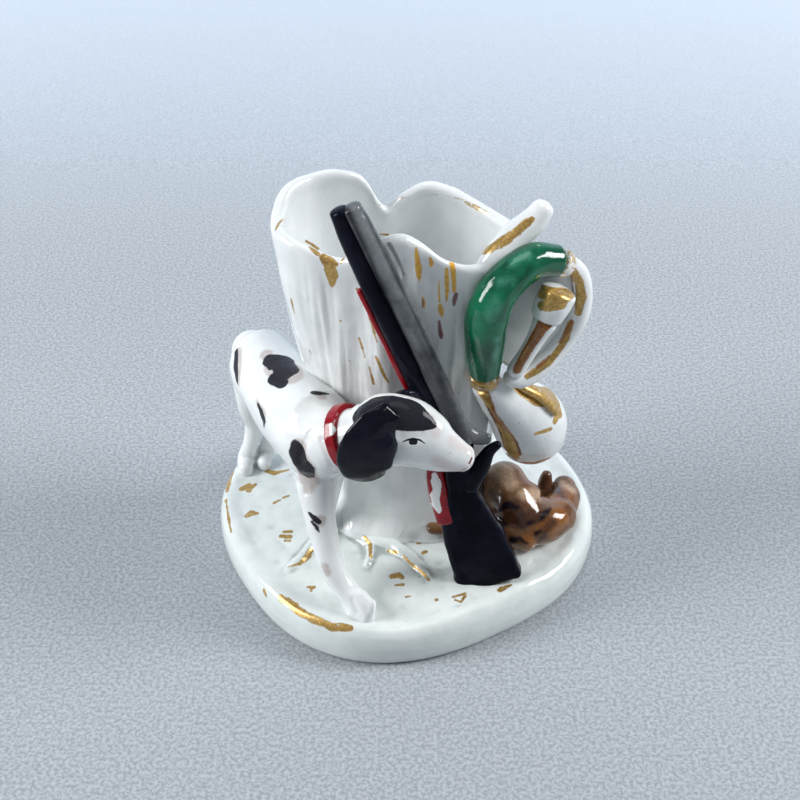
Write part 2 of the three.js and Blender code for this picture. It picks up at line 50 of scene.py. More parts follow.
# steps along a stroke in mm and in pixels, then in mm the depth that one may span and the margin round it
strokeValues = {"placeStep": 0.7, "pixelStep": 2.5, "depth": 9, "margin": 3}


# The photograph's view, in millimetres and degrees; marks are placed by the photograph's pixels

viewValues = {
    "elevation": 38, "aim": (0, 0, 45), "distance": 330, "lens": 58.98, "sensor": 36,
    "shift": (-0.0071, -0.0031), "pixels": 800, "clip": 10,
}
viewRise = math.radians(viewValues["elevation"])
viewForward = Vector((0, math.cos(viewRise), -math.sin(viewRise)))
viewUp = Vector((0, math.sin(viewRise), math.cos(viewRise)))
viewPlace = Vector(viewValues["aim"]) - viewForward * viewValues["distance"]
pixelFocus = viewValues["lens"] / viewValues["sensor"] * viewValues["pixels"]


def photoRay(across, down):
    middle = viewValues["pixels"] / 2
    right = across - (middle - viewValues["shift"][0] * viewValues["pixels"])
    high = (middle + viewValues["shift"][1] * viewValues["pixels"]) - down
    return (viewForward + Vector((right / pixelFocus, 0, 0)) + viewUp * (high / pixelFocus)).normalized()


# Shapes are made in millimetres and turned into metres when a piece is finished

def addObject(name, data):
    thing = bpy.data.objects.new(name, data)
    bpy.context.scene.collection.objects.link(thing)
    return thing


def meshOf(piece):
    bm = bmesh.new()
    bm.from_mesh(piece.data)
    return bm


def putBack(piece, bm):
    bm.to_mesh(piece.data)
    bm.free()


def curvePoint(rows, place, even):
    # a Catmull-Rom curve through rows of numbers, centripetal unless even
    last = len(rows) - 1
    start = min(int(place), last - 1)
    share = place - start
    p1, p2 = rows[start], rows[start + 1]
    p0 = rows[start - 1] if start > 0 else 2 * p1 - p2
    p3 = rows[start + 2] if start + 2 <= last else 2 * p2 - p1
    if even:
        t1, t2 = (p2 - p0) / 2, (p3 - p1) / 2
    else:
        gaps = [max(np.linalg.norm(b - a) ** 0.5, 1e-4) for a, b in ((p0, p1), (p1, p2), (p2, p3))]
        t1 = ((p1 - p0) / gaps[0] - (p2 - p0) / (gaps[0] + gaps[1]) + (p2 - p1) / gaps[1]) * gaps[1]
        t2 = ((p2 - p1) / gaps[1] - (p3 - p1) / (gaps[1] + gaps[2]) + (p3 - p2) / gaps[2]) * gaps[1]
    bend = 2 * (p1 - p2) + t1 + t2
    return p1 + t1 * share + (3 * (p2 - p1) - 2 * t1 - t2) * share ** 2 + bend * share ** 3


def sweepRings(bm, rings):
    # the first ring is a circle, and each next one is extruded from the last and moved to its places
    verts = bmesh.ops.create_circle(bm, cap_ends=True, segments=len(rings[0]), radius=1)["verts"]
    for vert, place in zip(verts, rings[0]):
        vert.co = place
    edges = [bm.edges.get((a, b)) for a, b in zip(verts, verts[1:] + verts[:1])]
    faces = set(f for v in verts for f in v.link_faces)
    for ring in rings[1:]:
        grown = bmesh.ops.extrude_edge_only(bm, edges=edges)["geom"]
        fresh = set(part for part in grown if isinstance(part, bmesh.types.BMVert))
        faces.update(part for part in grown if isinstance(part, bmesh.types.BMFace))
        verts = [next(e.other_vert(v) for e in v.link_edges if e.other_vert(v) in fresh) for v in verts]
        for vert, place in zip(verts, ring):
            vert.co = place
        edges = [bm.edges.get((a, b)) for a, b in zip(verts, verts[1:] + verts[:1])]
    faces.update(bmesh.ops.edgeloop_fill(bm, edges=edges)["faces"])
    bmesh.ops.recalc_face_normals(bm, faces=list(faces))


def addLoft(bm, stations, top=up, spot=(0, 0, 0), sides=28, spans=7, dome=1.0):
    # a rounded body through stations [x, y, z, half width, half height], measured from a spot
    rows = np.array([list(s) + [s[3]] * (5 - len(s)) for s in stations], float)
    places, halves = rows[:, :3] + np.array(spot), rows[:, 3:]
    steps, near = (len(rows) - 1) * spans, loftValues["tangentStep"]

    def ringAt(place, shift, scale):
        low, high = max(place - near, 0), min(place + near, len(rows) - 1)
        along = Vector(curvePoint(places, high, False) - curvePoint(places, low, False)).normalized()
        tall = (Vector(top) - along * Vector(top).dot(along)).normalized()
        wide = tall.cross(along)
        half = curvePoint(halves, place, True) * scale
        middle = Vector(curvePoint(places, place, False)) + along * shift
        turns = [2 * math.pi * k / sides for k in range(sides)]
        return [middle + wide * (math.cos(t) * half[0]) + tall * (math.sin(t) * half[1]) for t in turns]

    lifts = [math.radians(a) for a in loftValues["domeAngles"]]
    startHeight, endHeight = min(halves[0]) * dome, min(halves[-1]) * dome
    rings = [ringAt(0, -startHeight * math.sin(a), math.cos(a)) for a in reversed(lifts)]
    rings += [ringAt(k / spans, 0, 1) for k in range(steps + 1)]
    rings += [ringAt(len(rows) - 1, endHeight * math.sin(a), math.cos(a)) for a in lifts]
    sweepRings(bm, rings)


def addCopies(bm, names, grow):
    # copies of the model's own solids, grown a little so that the seams between them close
    for name in names:
        part = bmesh.new()
        part.from_mesh(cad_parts[name].data)
        bmesh.ops.scale(part, vec=(mmPerMetre,) * 3, verts=part.verts)
        bmesh.ops.remove_doubles(part, verts=part.verts, dist=seamWeld)
        part.normal_update()
        for vert, normal in [(v, v.normal.copy()) for v in part.verts]:
            vert.co += normal * grow
        mesh = bpy.data.meshes.new("copy")
        part.to_mesh(mesh)
        part.free()
        bm.from_mesh(mesh)
        bpy.data.meshes.remove(mesh)


def fusePiece(name, bm, voxel, rounds):
    # one skin over all that the bmesh holds, with the corners that a thick glaze leaves
    piece = addObject(name, bpy.data.meshes.new(name))
    putBack(piece, bm)
    remesh = piece.modifiers.new("remesh", "REMESH")
    remesh.mode, remesh.voxel_size = "VOXEL", voxel
    smooth = piece.modifiers.new("smooth", "SMOOTH")
    smooth.factor, smooth.iterations = smoothShare, rounds
    view = bpy.context.evaluated_depsgraph_get()
    fused = bpy.data.meshes.new_from_object(piece.evaluated_get(view))
    piece.modifiers.clear()
    loose, piece.data = piece.data, fused
    bpy.data.meshes.remove(loose)
    fused.name = name
    return piece


def dropCrumbs(piece):
    # small closed bits that the fusing leaves inside a skin go, and only the skin stays
    bm = meshOf(piece)
    left, groups = set(bm.verts), []
    while left:
        group, edge = set(), {next(iter(left))}
        while edge:
            group |= edge
            edge = {e.other_vert(v) for v in edge for e in v.link_edges} - group
        left -= group
        groups.append(group)
    groups.sort(key=len)
    bmesh.ops.delete(bm, geom=[v for group in groups[:-1] for v in group], context="VERTS")
    putBack(piece, bm)


# Sculpting and painting on a fused skin

def placesOf(mesh):
    places = np.empty(len(mesh.vertices) * 3, np.float32)
    mesh.vertices.foreach_get("co", places)
    return places.reshape(-1, 3)


def normalsOf(mesh):
    normals = np.empty(len(mesh.vertices) * 3, np.float32)
    mesh.vertex_normals.foreach_get("vector", normals)
    return normals.reshape(-1, 3)


def pushOut(piece, amounts):
    moved = placesOf(piece.data) + normalsOf(piece.data) * np.asarray(amounts, np.float32)[:, None]
    piece.data.vertices.foreach_set("co", moved.ravel())
    piece.data.update()


def treeOf(*pieces):
    verts, faces = [], []
    for piece in pieces:
        base = len(verts)
        verts += [v.co for v in piece.data.vertices]
        faces += [[base + k for k in p.vertices] for p in piece.data.polygons]
    return BVHTree.FromPolygons(verts, faces)


def inSteps(rows, step):
    dense = [rows[0]]
    for a, b in zip(rows, rows[1:]):
        count = max(1, math.ceil(np.linalg.norm(b[:-1] - a[:-1]) / step))
        dense += [a + (b - a) * (k + 1) / count for k in range(count)]
    return dense


def laidOn(tree, strokes):
    # strokes laid onto a skin: photograph pixels [across, down, radius], or places [x, y, z, radius] in mm
    laid, steps = [], strokeValues
    for stroke in strokes:
        rows = np.array(stroke, float)
        if rows.shape[1] == 4:
            dense = inSteps(rows, steps["placeStep"])
            laid.append([[*tree.find_nearest(Vector(row[:3]))[0], row[3]] for row in dense])
            continue
        hits = []
        for across, down, radius in inSteps(rows, steps["pixelStep"]):
            place, _, _, depth = tree.ray_cast(viewPlace, photoRay(across, down))
            if place is not None:
                hits.append([*place, radius * depth / pixelFocus, depth])
        if hits:
            usual = sorted(hit[4] for hit in hits)[len(hits) // 2]
            laid.append([hit[:4] for hit in hits if abs(hit[4] - usual) < steps["depth"]])
    return laid


def strokeDistance(places, strokes):
    # millimetres from each place to the edge of the nearest stroke, below zero inside it
    nearest = np.full(len(places), farAway)
    for stroke in strokes:
        rows = np.array(stroke, float)
        if len(rows) == 1:
            rows = np.vstack([rows, rows])
        reach = rows[:, 3].max() + strokeValues["margin"]
        low, high = rows[:, :3].min(0) - reach, rows[:, :3].max(0) + reach
        close = np.flatnonzero(np.all((places > low) & (places < high), axis=1))
        spots = places[close]
        for a, b in zip(rows, rows[1:]):
            line = b[:3] - a[:3]
            share = np.clip((spots - a[:3]) @ line / max(line @ line, 1e-9), 0, 1)
            gap = np.linalg.norm(spots - a[:3] - share[:, None] * line, axis=1)
            nearest[close] = np.minimum(nearest[close], gap - a[3] - share * (b[3] - a[3]))
    return nearest


def refineNear(piece, strokes, margin):
    # finer faces where thin strokes run
    laid = laidOn(treeOf(piece), strokes)
    near = strokeDistance(placesOf(piece.data), laid) < margin
    bm = meshOf(piece)
    bm.verts.ensure_lookup_table()
    edges = [e for e in bm.edges if near[e.verts[0].index] and near[e.verts[1].index]]
    bmesh.ops.subdivide_edges(bm, edges=edges, cuts=1, use_grid_fill=True)
    putBack(piece, bm)


def writeLayer(piece, layer, values):
    attribute = piece.data.attributes.new(layer, "FLOAT", "POINT")
    attribute.data.foreach_set("value", values.astype(np.float32))


def paintAll(piece, marks):
    # each group of strokes becomes a distance that the glaze reads
    tree = treeOf(piece)
    for layer, strokes in marks.items():
        writeLayer(piece, layer, strokeDistance(placesOf(piece.data), laidOn(tree, strokes)))


def carve(piece, strokes, depth, width):
    # grooves, or ridges where depth is below zero, along strokes
    gap = np.maximum(strokeDistance(placesOf(piece.data), laidOn(treeOf(piece), strokes)), 0) / width
    pushOut(piece, -depth * np.exp(-(gap ** 2) * 2))


def above(start, span):
    # 0 up to a height and 1 a span past it; a negative span works downwards
    return lambda places: np.clip((places[:, 2] - start) / span, 0, 1)


def waves(piece, size, height, seed, stretch=(1, 1, 1), where=None):
    # gentle unevenness of hand-finished clay
    places = placesOf(piece.data)
    scaled = places * np.array(stretch) / size + seed
    amounts = np.array([height * noise.noise(Vector(p)) for p in scaled])
    pushOut(piece, amounts if where is None else amounts * where(places))


def flareOnto(piece, tree, reach, amount):
    # the glaze runs out in a fillet where a piece meets what carries it
    amounts = []
    for vert in piece.data.vertices:
        gap = tree.find_nearest(vert.co, reach)[3]
        amounts.append(0 if gap is None else amount * (1 - gap / reach) ** 2)
    pushOut(piece, amounts)


def markHollows(piece, rounds=6):
    # how hollow each place is, for the glaze that pools there and the painted shade that darkens it
    bm = meshOf(piece)
    axes = {"use_axis_x": True, "use_axis_y": True, "use_axis_z": True}
    for _ in range(rounds):
        bmesh.ops.smooth_vert(bm, verts=bm.verts, factor=smoothShare, **axes)
    after = np.array([v.co for v in bm.verts], np.float32)
    bm.free()
    writeLayer(piece, "hollow", np.einsum("ij,ij->i", after - placesOf(piece.data), normalsOf(piece.data)))


def finishPiece(piece, material, slot, *nodes):
    markHollows(piece)
    piece.data.transform(Matrix.Scale(metresPerMm, 4))
    piece.data.shade_smooth()
    piece.data.materials.clear()
    piece.data.materials.append(material)
    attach(piece, "root")
    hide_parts(*nodes)
    print("piece", piece.name, len(piece.data.polygons), "faces")


def plainPiece(name, bm, voxel, shape, marks, material, slot, node):
    # a piece of lofts that needs only its skin, some unevenness and its paint
    piece = fusePiece(name, bm, voxel, shape["smoothing"])
    waves(piece, *shape["lumps"])
    paintAll(piece, marks)
    finishPiece(piece, material, slot, node)


# Material parts that several pieces share; a noise is (scale per metre, detail, roughness)

glazeValues = {
    # the pooled colour is the glaze's tint in hollows and also painted shade there
    "poolAndShade": (0.36, 0.41, 0.395), "speck": (0.16, 0.11, 0.08),
    "mottle": ((110, 5, 0.62), (0.32, 0.68)), "smears": ((420, 6, 0.7), (0.45, 0.75)),
    "grain": ((1500, 5, 0.7), (0.35, 0.68)),
    "roughness": 0.07, "smear": 0.16, "coat": 0.25, "coatRoughness": 0.04, "relief": 0.00014,  # m
    "darkGloss": 0.12, "darkCoat": 0.02,
    # the hollow where the pooled glaze and its painted shade start and where they are whole, in mm
    "poolShadeSpan": (0.004, 0.1), "poolShadeMottle": ((260, 5, 0.6), (0.2, 0.6, 0.55, 1)),
    "ripple": (230, 2, 0.5), "dimple": (1500, 3, 0.6), "dimpleShare": 0.14,
    "speckScale": 300, "speckShare": 0.05, "speckSize": 0.07,
}
edgeValues = {
    "broad": (320, 2, 0.5), "fine": (1300, 4, 0.65), "fineShare": 0.6,
    "flakes": (900, 6, 0.7), "wearStart": 0.28, "wearSpan": 0.42, "flakeEdge": 0.04, "leastWear": 0.001,
}
gilding = {
    "bright": (0.66, 0.43, 0.13), "dull": (0.37, 0.22, 0.065), "roughness": 0.32, "metallic": 0.5,
    "flakes": (620, 7, 0.72), "flakeEdge": 0.06, "grain": ((1700, 5, 0.7), (0.35, 0.68)),
}
enamels = {
    "white": ((0.83, 0.85, 0.85), (0.76, 0.785, 0.785)),
    "ground": ((0.76, 0.805, 0.79), (0.68, 0.73, 0.715)),
    "black": ((0.0025, 0.003, 0.007), (0.008, 0.009, 0.018)),
    "halo": ((0.36, 0.245, 0.215), (0.50, 0.40, 0.37)),
    "pink": ((0.62, 0.44, 0.41), (0.66, 0.55, 0.53)),
    "brown": ((0.035, 0.014, 0.009), (0.085, 0.032, 0.016)),
    "darkRed": ((0.22, 0.012, 0.014), (0.10, 0.012, 0.01)),
    "red": ((0.33, 0.006, 0.014), (0.20, 0.004, 0.01)),
    "green": ((0.004, 0.165, 0.075), (0.002, 0.07, 0.034)),
    "paleGreen": ((0.06, 0.30, 0.19), (0.10, 0.38, 0.26)),
    "deepGreen": ((0.001, 0.045, 0.022), (0.002, 0.06, 0.03)),
    "grey": ((0.055, 0.06, 0.066), (0.15, 0.158, 0.167)),
    "paleGrey": ((0.30, 0.32, 0.34), (0.40, 0.42, 0.44)),
    "ochre": ((0.88, 0.50, 0.05), (0.62, 0.30, 0.03)),
    "tan": ((0.56, 0.39, 0.27), (0.40, 0.26, 0.16)),
    "fur": ((0.26, 0.13, 0.058), (0.10, 0.042, 0.018)),
    "rust": ((0.36, 0.13, 0.02), (0.20, 0.065, 0.011)),
    "orange": ((0.50, 0.16, 0.03), (0.34, 0.09, 0.02)),
}


def fillNode(tree, node, inputs):
    # each input gets a number, a colour or a link
    for label, value in inputs.items():
        if isinstance(value, bpy.types.NodeSocket):
            tree.links.new(value, node.inputs[label])
        else:
            node.inputs[label].default_value = (*value, 1) if isinstance(value, tuple) else value


def addNode(tree, kind, inputs, **settings):
    node = tree.nodes.new("ShaderNode" + kind)
    for key, value in settings.items():
        setattr(node, key, value)
    fillNode(tree, node, inputs)
    return node


def objectPlace(tree):
    return tree.nodes.new("ShaderNodeTexCoord").outputs["Object"]


def addMath(tree, operation, *values):
    return addNode(tree, "Math", dict(enumerate(values)), operation=operation).outputs[0]


def addNoise(tree, scale, detail, roughness):
    inputs = {"Vector": objectPlace(tree), "Scale": scale, "Detail": detail, "Roughness": roughness}
    return addNode(tree, "TexNoise", inputs).outputs["Fac"]


def addRange(tree, value, low, high, start=0.0, end=1.0):
    inputs = {"Value": value, "From Min": low, "From Max": high, "To Min": start, "To Max": end}
    return addNode(tree, "MapRange", inputs, interpolation_type="SMOOTHSTEP").outputs["Result"]


def addPattern(tree, noise, span):
    # a span of a noise, spread to the whole range
    return addRange(tree, addNoise(tree, *noise), *span)


def mixColours(tree, share, first, second):
    return addNode(tree, "Mix", {"Factor": share, 6: first, 7: second}, data_type="RGBA").outputs[2]


def mixNumbers(tree, share, first, second):
    return addNode(tree, "Mix", {"Factor": share, "A": first, "B": second}).outputs["Result"]


def startGroup(name, *labels):
    group = bpy.data.node_groups.new(name, "ShaderNodeTree")
    for label in labels:
        group.interface.new_socket(label, in_out="INPUT", socket_type="NodeSocketFloat")
    return group, group.nodes.new("NodeGroupInput").outputs


def endGroup(group, socket):
    group.interface.new_socket("Result", in_out="OUTPUT", socket_type="NodeSocketFloat")
    group.links.new(socket, group.nodes.new("NodeGroupOutput").inputs[0])
    return group


def makeBrushedEdge():
    # 1 inside a painted mark: its distance, with an edge that wavers and fades, and worn places
    group, given = startGroup("brushedEdge", "Distance", "Waver", "Softness", "Wear")
    broad = addMath(group, "SUBTRACT", addNoise(group, *edgeValues["broad"]), 0.5)
    fine = addMath(group, "SUBTRACT", addNoise(group, *edgeValues["fine"]), 0.5)
    shift = addMath(group, "MULTIPLY_ADD", fine, edgeValues["fineShare"], broad)
    moved = addMath(group, "MULTIPLY_ADD", shift, given["Waver"], given["Distance"])
    inner = addMath(group, "MULTIPLY", given["Softness"], -1)
    inside = addRange(group, moved, inner, given["Softness"], 1, 0)
    flakes = addNoise(group, *edgeValues["flakes"])
    edge = addMath(group, "MULTIPLY_ADD", given["Wear"], edgeValues["wearSpan"], edgeValues["wearStart"])
    low, high = (addMath(group, way, edge, edgeValues["flakeEdge"]) for way in ("SUBTRACT", "ADD"))
    unworn = addMath(group, "LESS_THAN", given["Wear"], edgeValues["leastWear"])
    kept = addMath(group, "MAXIMUM", addRange(group, flakes, low, high), unworn)
    return endGroup(group, addMath(group, "MULTIPLY", inside, kept))


def makePoolAndShade():
    # where the glaze lies thick in a hollow and shows its tint, with painted shade darkening the same hollows
    group, given = startGroup("poolAndShadeGlaze", "Hollow")
    deep = addRange(group, given["Hollow"], *glazeValues["poolShadeSpan"])
    return endGroup(group, addMath(group, "MULTIPLY", deep, addPattern(group, *glazeValues["poolShadeMottle"])))


def makeGlazeSkin():
    # the height of a fired glaze: slow ripples and fine dimples
    group, _ = startGroup("glazeSkin")
    slow, fine = (addNoise(group, *glazeValues[key]) for key in ("ripple", "dimple"))
    return endGroup(group, addMath(group, "MULTIPLY_ADD", fine, glazeValues["dimpleShare"], slow))


def makeKilnSpecks():
    # a few dark specks fired into the glaze
    group, _ = startGroup("kilnSpecks")
    inputs = {"Vector": objectPlace(group), "Scale": glazeValues["speckScale"]}
    cells = addNode(group, "TexVoronoi", inputs).outputs
    parts = addNode(group, "SeparateColor", {"Color": cells["Color"]}).outputs
    chosen = addMath(group, "LESS_THAN", parts[0], glazeValues["speckShare"])
    reach = addMath(group, "MULTIPLY", glazeValues["speckSize"], parts[1])
    spot = addMath(group, "LESS_THAN", cells["Distance"], reach)
    return endGroup(group, addMath(group, "MULTIPLY", chosen, spot))


shared = {
    "edge": makeBrushedEdge(), "poolAndShade": makePoolAndShade(),
    "skin": makeGlazeSkin(), "specks": makeKilnSpecks(),
}


def useGroup(tree, name, **inputs):
    return addNode(tree, "Group", inputs, node_tree=shared[name]).outputs[0]


def readLayer(tree, layer):
    return addNode(tree, "Attribute", {}, attribute_name=layer).outputs["Fac"]


def newMaterial(name):
    material = bpy.data.materials.new(name)
    material.use_nodes = True
    return material, material.node_tree, material.node_tree.nodes["Principled BSDF"]


def glazedMaterial(
    name, ground, layers=(), poolAndShade=0.8, tint=glazeValues["poolAndShade"], coat=glazeValues["coat"], gloss=0.5,
):
    # glaze over a ground, with painted layers (attribute, enamel, waver, softness, wear, strength)
    material, tree, shader = newMaterial(name)
    colour = mixColours(tree, addPattern(tree, *glazeValues["mottle"]), *enamels[ground])
    smears = addPattern(tree, *glazeValues["smears"])
    rough = mixNumbers(tree, smears, glazeValues["roughness"], glazeValues["smear"])
    metal = dark = None
    # hollows darken: the glaze's own tint where it lies thick, and painted shade
    if poolAndShade:
        poolShade = addMath(tree, "MULTIPLY", useGroup(tree, "poolAndShade", Hollow=readLayer(tree, "hollow")), poolAndShade)
        colour = mixColours(tree, poolShade, colour, tint)
    grain = addPattern(tree, *glazeValues["grain"])
    for layer, enamel, waver, softness, wear, strength in layers:
        distance = readLayer(tree, layer)
        mask = useGroup(tree, "edge", Distance=distance, Waver=waver, Softness=softness, Wear=wear)
        if strength < 1:
            mask = addMath(tree, "MULTIPLY", mask, strength)
        if enamel == "black":
            dark = mask if dark is None else addMath(tree, "MAXIMUM", dark, mask)
        if enamel == "gold":
            leaf = mixColours(tree, grain, gilding["dull"], gilding["bright"])
            colour = mixColours(tree, mask, colour, leaf)
            rough = mixNumbers(tree, mask, rough, gilding["roughness"])
            metal = mask if metal is None else addMath(tree, "MAXIMUM", metal, mask)
        else:
            colour = mixColours(tree, mask, colour, mixColours(tree, grain, *enamels[enamel]))
            if metal is not None:
                metal = addMath(tree, "MULTIPLY", metal, addMath(tree, "SUBTRACT", 1, mask))
    bump = addNode(tree, "Bump", {"Distance": glazeValues["relief"], "Height": useGroup(tree, "skin")})
    inputs = {
        "Base Color": mixColours(tree, useGroup(tree, "specks"), colour, glazeValues["speck"]),
        "Roughness": rough, "Coat Roughness": glazeValues["coatRoughness"], "Normal": bump.outputs["Normal"],
    }
    if metal is not None:
        inputs["Metallic"] = addMath(tree, "MULTIPLY", metal, gilding["metallic"])
    for label, usual, deep in (("Coat Weight", coat, "darkCoat"), ("Specular IOR Level", gloss, "darkGloss")):
        least = min(usual, glazeValues[deep])
        inputs[label] = usual if dark is None else mixNumbers(tree, dark, usual, least)
    fillNode(tree, shader, inputs)
    return material


def giltMaterial(name, ground, wear):
    # worn gilding all over a glazed ground
    material = glazedMaterial(name, ground, poolAndShade=0)
    tree = material.node_tree
    shader = tree.nodes["Principled BSDF"]
    base, rough = (shader.inputs[label].links[0].from_socket for label in ("Base Color", "Roughness"))
    flakes = addPattern(tree, gilding["flakes"], (wear - gilding["flakeEdge"], wear + gilding["flakeEdge"]))
    gold = mixColours(tree, addPattern(tree, *gilding["grain"]), gilding["dull"], gilding["bright"])
    fillNode(tree, shader, {
        "Base Color": mixColours(tree, flakes, base, gold),
        "Roughness": mixNumbers(tree, flakes, rough, gilding["roughness"]),
        "Metallic": addMath(tree, "MULTIPLY", flakes, gilding["metallic"]),
    })
    return material


print("stage: materials ready")


# Plinth: an irregular glazed ground with roots and worn gold lines, on a plain wall

plinthShape = {
    "halfLength": 48, "halfWidth": 46, "turn": 30, "squareness": 2.45, "reach": 47, "segments": 280,
    # distance in from the outline and height
    "profile": [
        [7, 3], [5, 0], [3.4, 0], [1.4, 0.1], [0.6, 0.8], [0.2, 2.5], [0, 5.5], [0.2, 7.6], [0.55, 9.3],
        [1.5, 10.8], [2.6, 11.4], [3.8, 11.5], [5.2, 11.3], [6.8, 11.3], [14.1, 12.1], [25.85, 13],
        [40, 13.4], [46.6, 13.5],
    ],
    # unevenness is size, height and seed; a pair after it is where it starts and the span that it grows over
    "lumps": ((9, 0.6, 3.1), (3.4, 0.26, 7.7)), "top": (10.8, 0.8),
    "wallWave": (26, 0.3, 5.2), "wall": (1, 2),
    "rootGrow": 0.1, "voxel": 0.55, "smoothing": 3, "refine": 0.6,
}
groundMarks = {
    "groundGold": [
        [[233, 472, 2.7], [228.5, 482, 3.9], [227, 491, 2.1]],
        [[226, 500, 1.2], [228, 515, 1.2], [231, 532, 1.1]], [[242, 489, 3.3], [248, 486, 3.9]],
        [[249, 490, 3.3], [255, 484.5, 1.7]], [[267, 471, 3.1], [275, 473, 3.1], [288, 470, 2.1]],
        [[274, 503, 1.2], [280, 500, 1.3]], [[283, 498, 1], [289, 495.5, 1.1]],
        [[247, 516, 2.5], [252, 513, 3.8], [257, 513.5, 2.5]], [[281, 536, 2.1], [290, 537, 2.5]],
        [[284, 531.8, 1.4], [292, 531.5, 1.6]], [[285, 540.5, 1.4], [290, 541, 1.7]],
        [[288, 567, 1.2], [300, 563.5, 1.7], [307, 557, 3.3], [311, 550, 2.7]],
        [[308, 587, 1.7], [314, 587.5, 1.7]], [[311, 590.5, 1.5]],
        [[280.5, 597.5, 3.3], [297.5, 610, 4.1], [315, 620, 4.1], [332.5, 627, 4.1], [350, 628, 3.5]],
        [[288, 600, 2.7], [296, 605, 2.7]],
        [[334.5, 516, 3.1], [350, 526, 2.7], [365, 537.5, 2.1], [370, 545, 2.2], [371, 557, 1.5]],
        [[389, 551, 1.7], [397, 552.5, 1.7]], [[403, 556, 1.2], [415, 567.5, 1.3]],
        [[418, 569, 1.8], [424, 574, 2.2], [429, 580, 1.4]], [[406, 535, 3.1], [410, 534, 2.5]],
        [[418, 543, 1.8], [421, 542.5, 1.5]], [[423, 553, 2.1], [426, 551.5, 1.7]],
        [[392, 576.5, 3.1], [398, 575, 3.8], [402, 577, 2.5]], [[396, 585, 1.6], [403, 585, 1.9]],
        [[406, 597, 1.2], [411, 596, 1.1]], [[436.5, 600, 2]], [[453, 597, 1.4], [465, 593.5, 1.6]],
        [[455, 600, 1.4], [461, 602, 1.4], [465, 596, 1.6]],
        [[500, 590, 2.9], [504, 588, 3.3], [511, 585, 1.8]], [[485, 584, 1], [498, 583, 1]],
        [[245, 586, 1.3]], [[264, 591, 2.1], [266, 596, 1.5]],
    ],
    "groundSpeck": [
        [[379, 658, 0.8]], [[399, 616, 0.5]], [[428, 612, 0.4]], [[262, 630, 0.4]],
    ],
}


def plinthShare(x, y):
    turn = math.radians(plinthShape["turn"])
    long = abs(x * math.cos(turn) + y * math.sin(turn)) / plinthShape["halfLength"]
    wide = abs(y * math.cos(turn) - x * math.sin(turn)) / plinthShape["halfWidth"]
    power = plinthShape["squareness"]
    return (long ** power + wide ** power) ** (1 / power)


def makePlinth():
    bm = bmesh.new()
    rings = []
    for inset, z in plinthShape["profile"]:
        ring = []
        for k in range(plinthShape["segments"]):
            angle = 2 * math.pi * k / plinthShape["segments"]
            x, y = math.cos(angle), math.sin(angle)
            reach = (1 - inset / plinthShape["reach"]) / plinthShare(x, y)
            ring.append(Vector((x * reach, y * reach, z)))
        rings.append(ring)
    sweepRings(bm, rings)
    addCopies(bm, ("root_front", "root_side", "ground_twig"), plinthShape["rootGrow"])
    piece = fusePiece("plinthBody", bm, plinthShape["voxel"], plinthShape["smoothing"])
    for lumps in plinthShape["lumps"]:
        waves(piece, *lumps, where=above(*plinthShape["top"]))
    waves(piece, *plinthShape["wallWave"], where=above(*plinthShape["wall"]))
    refineNear(piece, groundMarks["groundGold"], plinthShape["refine"])
    paintAll(piece, groundMarks)
    material = glazedMaterial("plinthGlaze", "ground", [
        ("groundGold", "gold", 0.8, 0.14, 0.22, 1), ("groundSpeck", "brown", 0.1, 0.06, 0, 0.9),
    ], poolAndShade=0.9)
    tree = treeOf(piece)
    finishPiece(piece, material, "white_glaze", "plinth", "root_front", "root_side", "ground_twig")
    return tree


# Stump vase: pleated trunk, thick torn lip, smooth inside, and the stub of a branch

vaseShape = {
    "axis": (-0.5, 1.5), "height": 102, "foot": 10.5, "floor": 22, "wall": 2.4, "segments": 400,
    "waistHalf": 22.5, "waistDeep": 18, "flare": 3.5, "flareTop": 0.16, "spread": (0.28, 0.96),
    # the bark's flutes and pleats, and the shares of the height between which they come and go
    "bark": 0.4, "flutes": 14, "sway": 1.5, "drift": (2, 1.6), "pleats": ((8, 0.4), (19, 0.3)),
    "pleatRise": 3, "pleatEdge": 2.4, "pleatShare": 0.7, "pleatsFrom": (0.05, 0.4), "pleatsTo": (0.86, 0.98),
    # rows of the skin: outside, lip and inside, with the shares of the height and wall that they run to
    "outsideRows": 36, "outsideTop": 0.97, "lipFrom": 0.9, "lipRows": 10, "lipRoll": 0.5, "lipWidth": 1.4,
    "insideRows": 24, "insideTop": 0.955, "insideFall": 0.895, "insideThick": 1.5,
    "floorCorner": ((0.02, 2.1), (0.01, 2.8)),
    "ripple": (5, 0.16, 4.4, (1, 1, 0.3)), "rippleFrom": (14, 4),
    "footLumps": (8, 1.1, 9.3), "footFrom": (34, -12), "fillet": (6, 2.2),
    # reach and drop of the rim at even steps round from +X
    "rim": [
        [28, 9.4], [27.2, 11], [26.2, 11.8], [25, 10.8], [23.4, 8.6], [21.7, 7.6], [20, 9.8], [19.4, 12.8],
        [20.7, 4.6], [22.8, 1.9], [26.3, 1.6], [29, 1.9], [29.8, 4.6], [29.6, 4.6], [26.4, 5.6], [22, 7.4],
        [20, 5.2], [19.4, 0.8], [18.2, 0.2], [18, 3], [20, 7], [23.5, 8.6], [26.6, 7], [28.8, 5.6],
    ],
    "branch": [
        [-2, -1.5, -3, 0.8], [1.4, 0.8, 0, 1.1], [5.6, 4.2, 2.6, 1.25], [9.2, 6, 5, 1.15],
        [11.2, 6.8, 7.6, 0.95],
    ],
    "branchRoot": (19.271, -11.836, 94.504), "branchRadius": 2.7, "branchDome": 0.7,
    "voxel": 0.5, "smoothing": 1, "refine": 0.6,
}
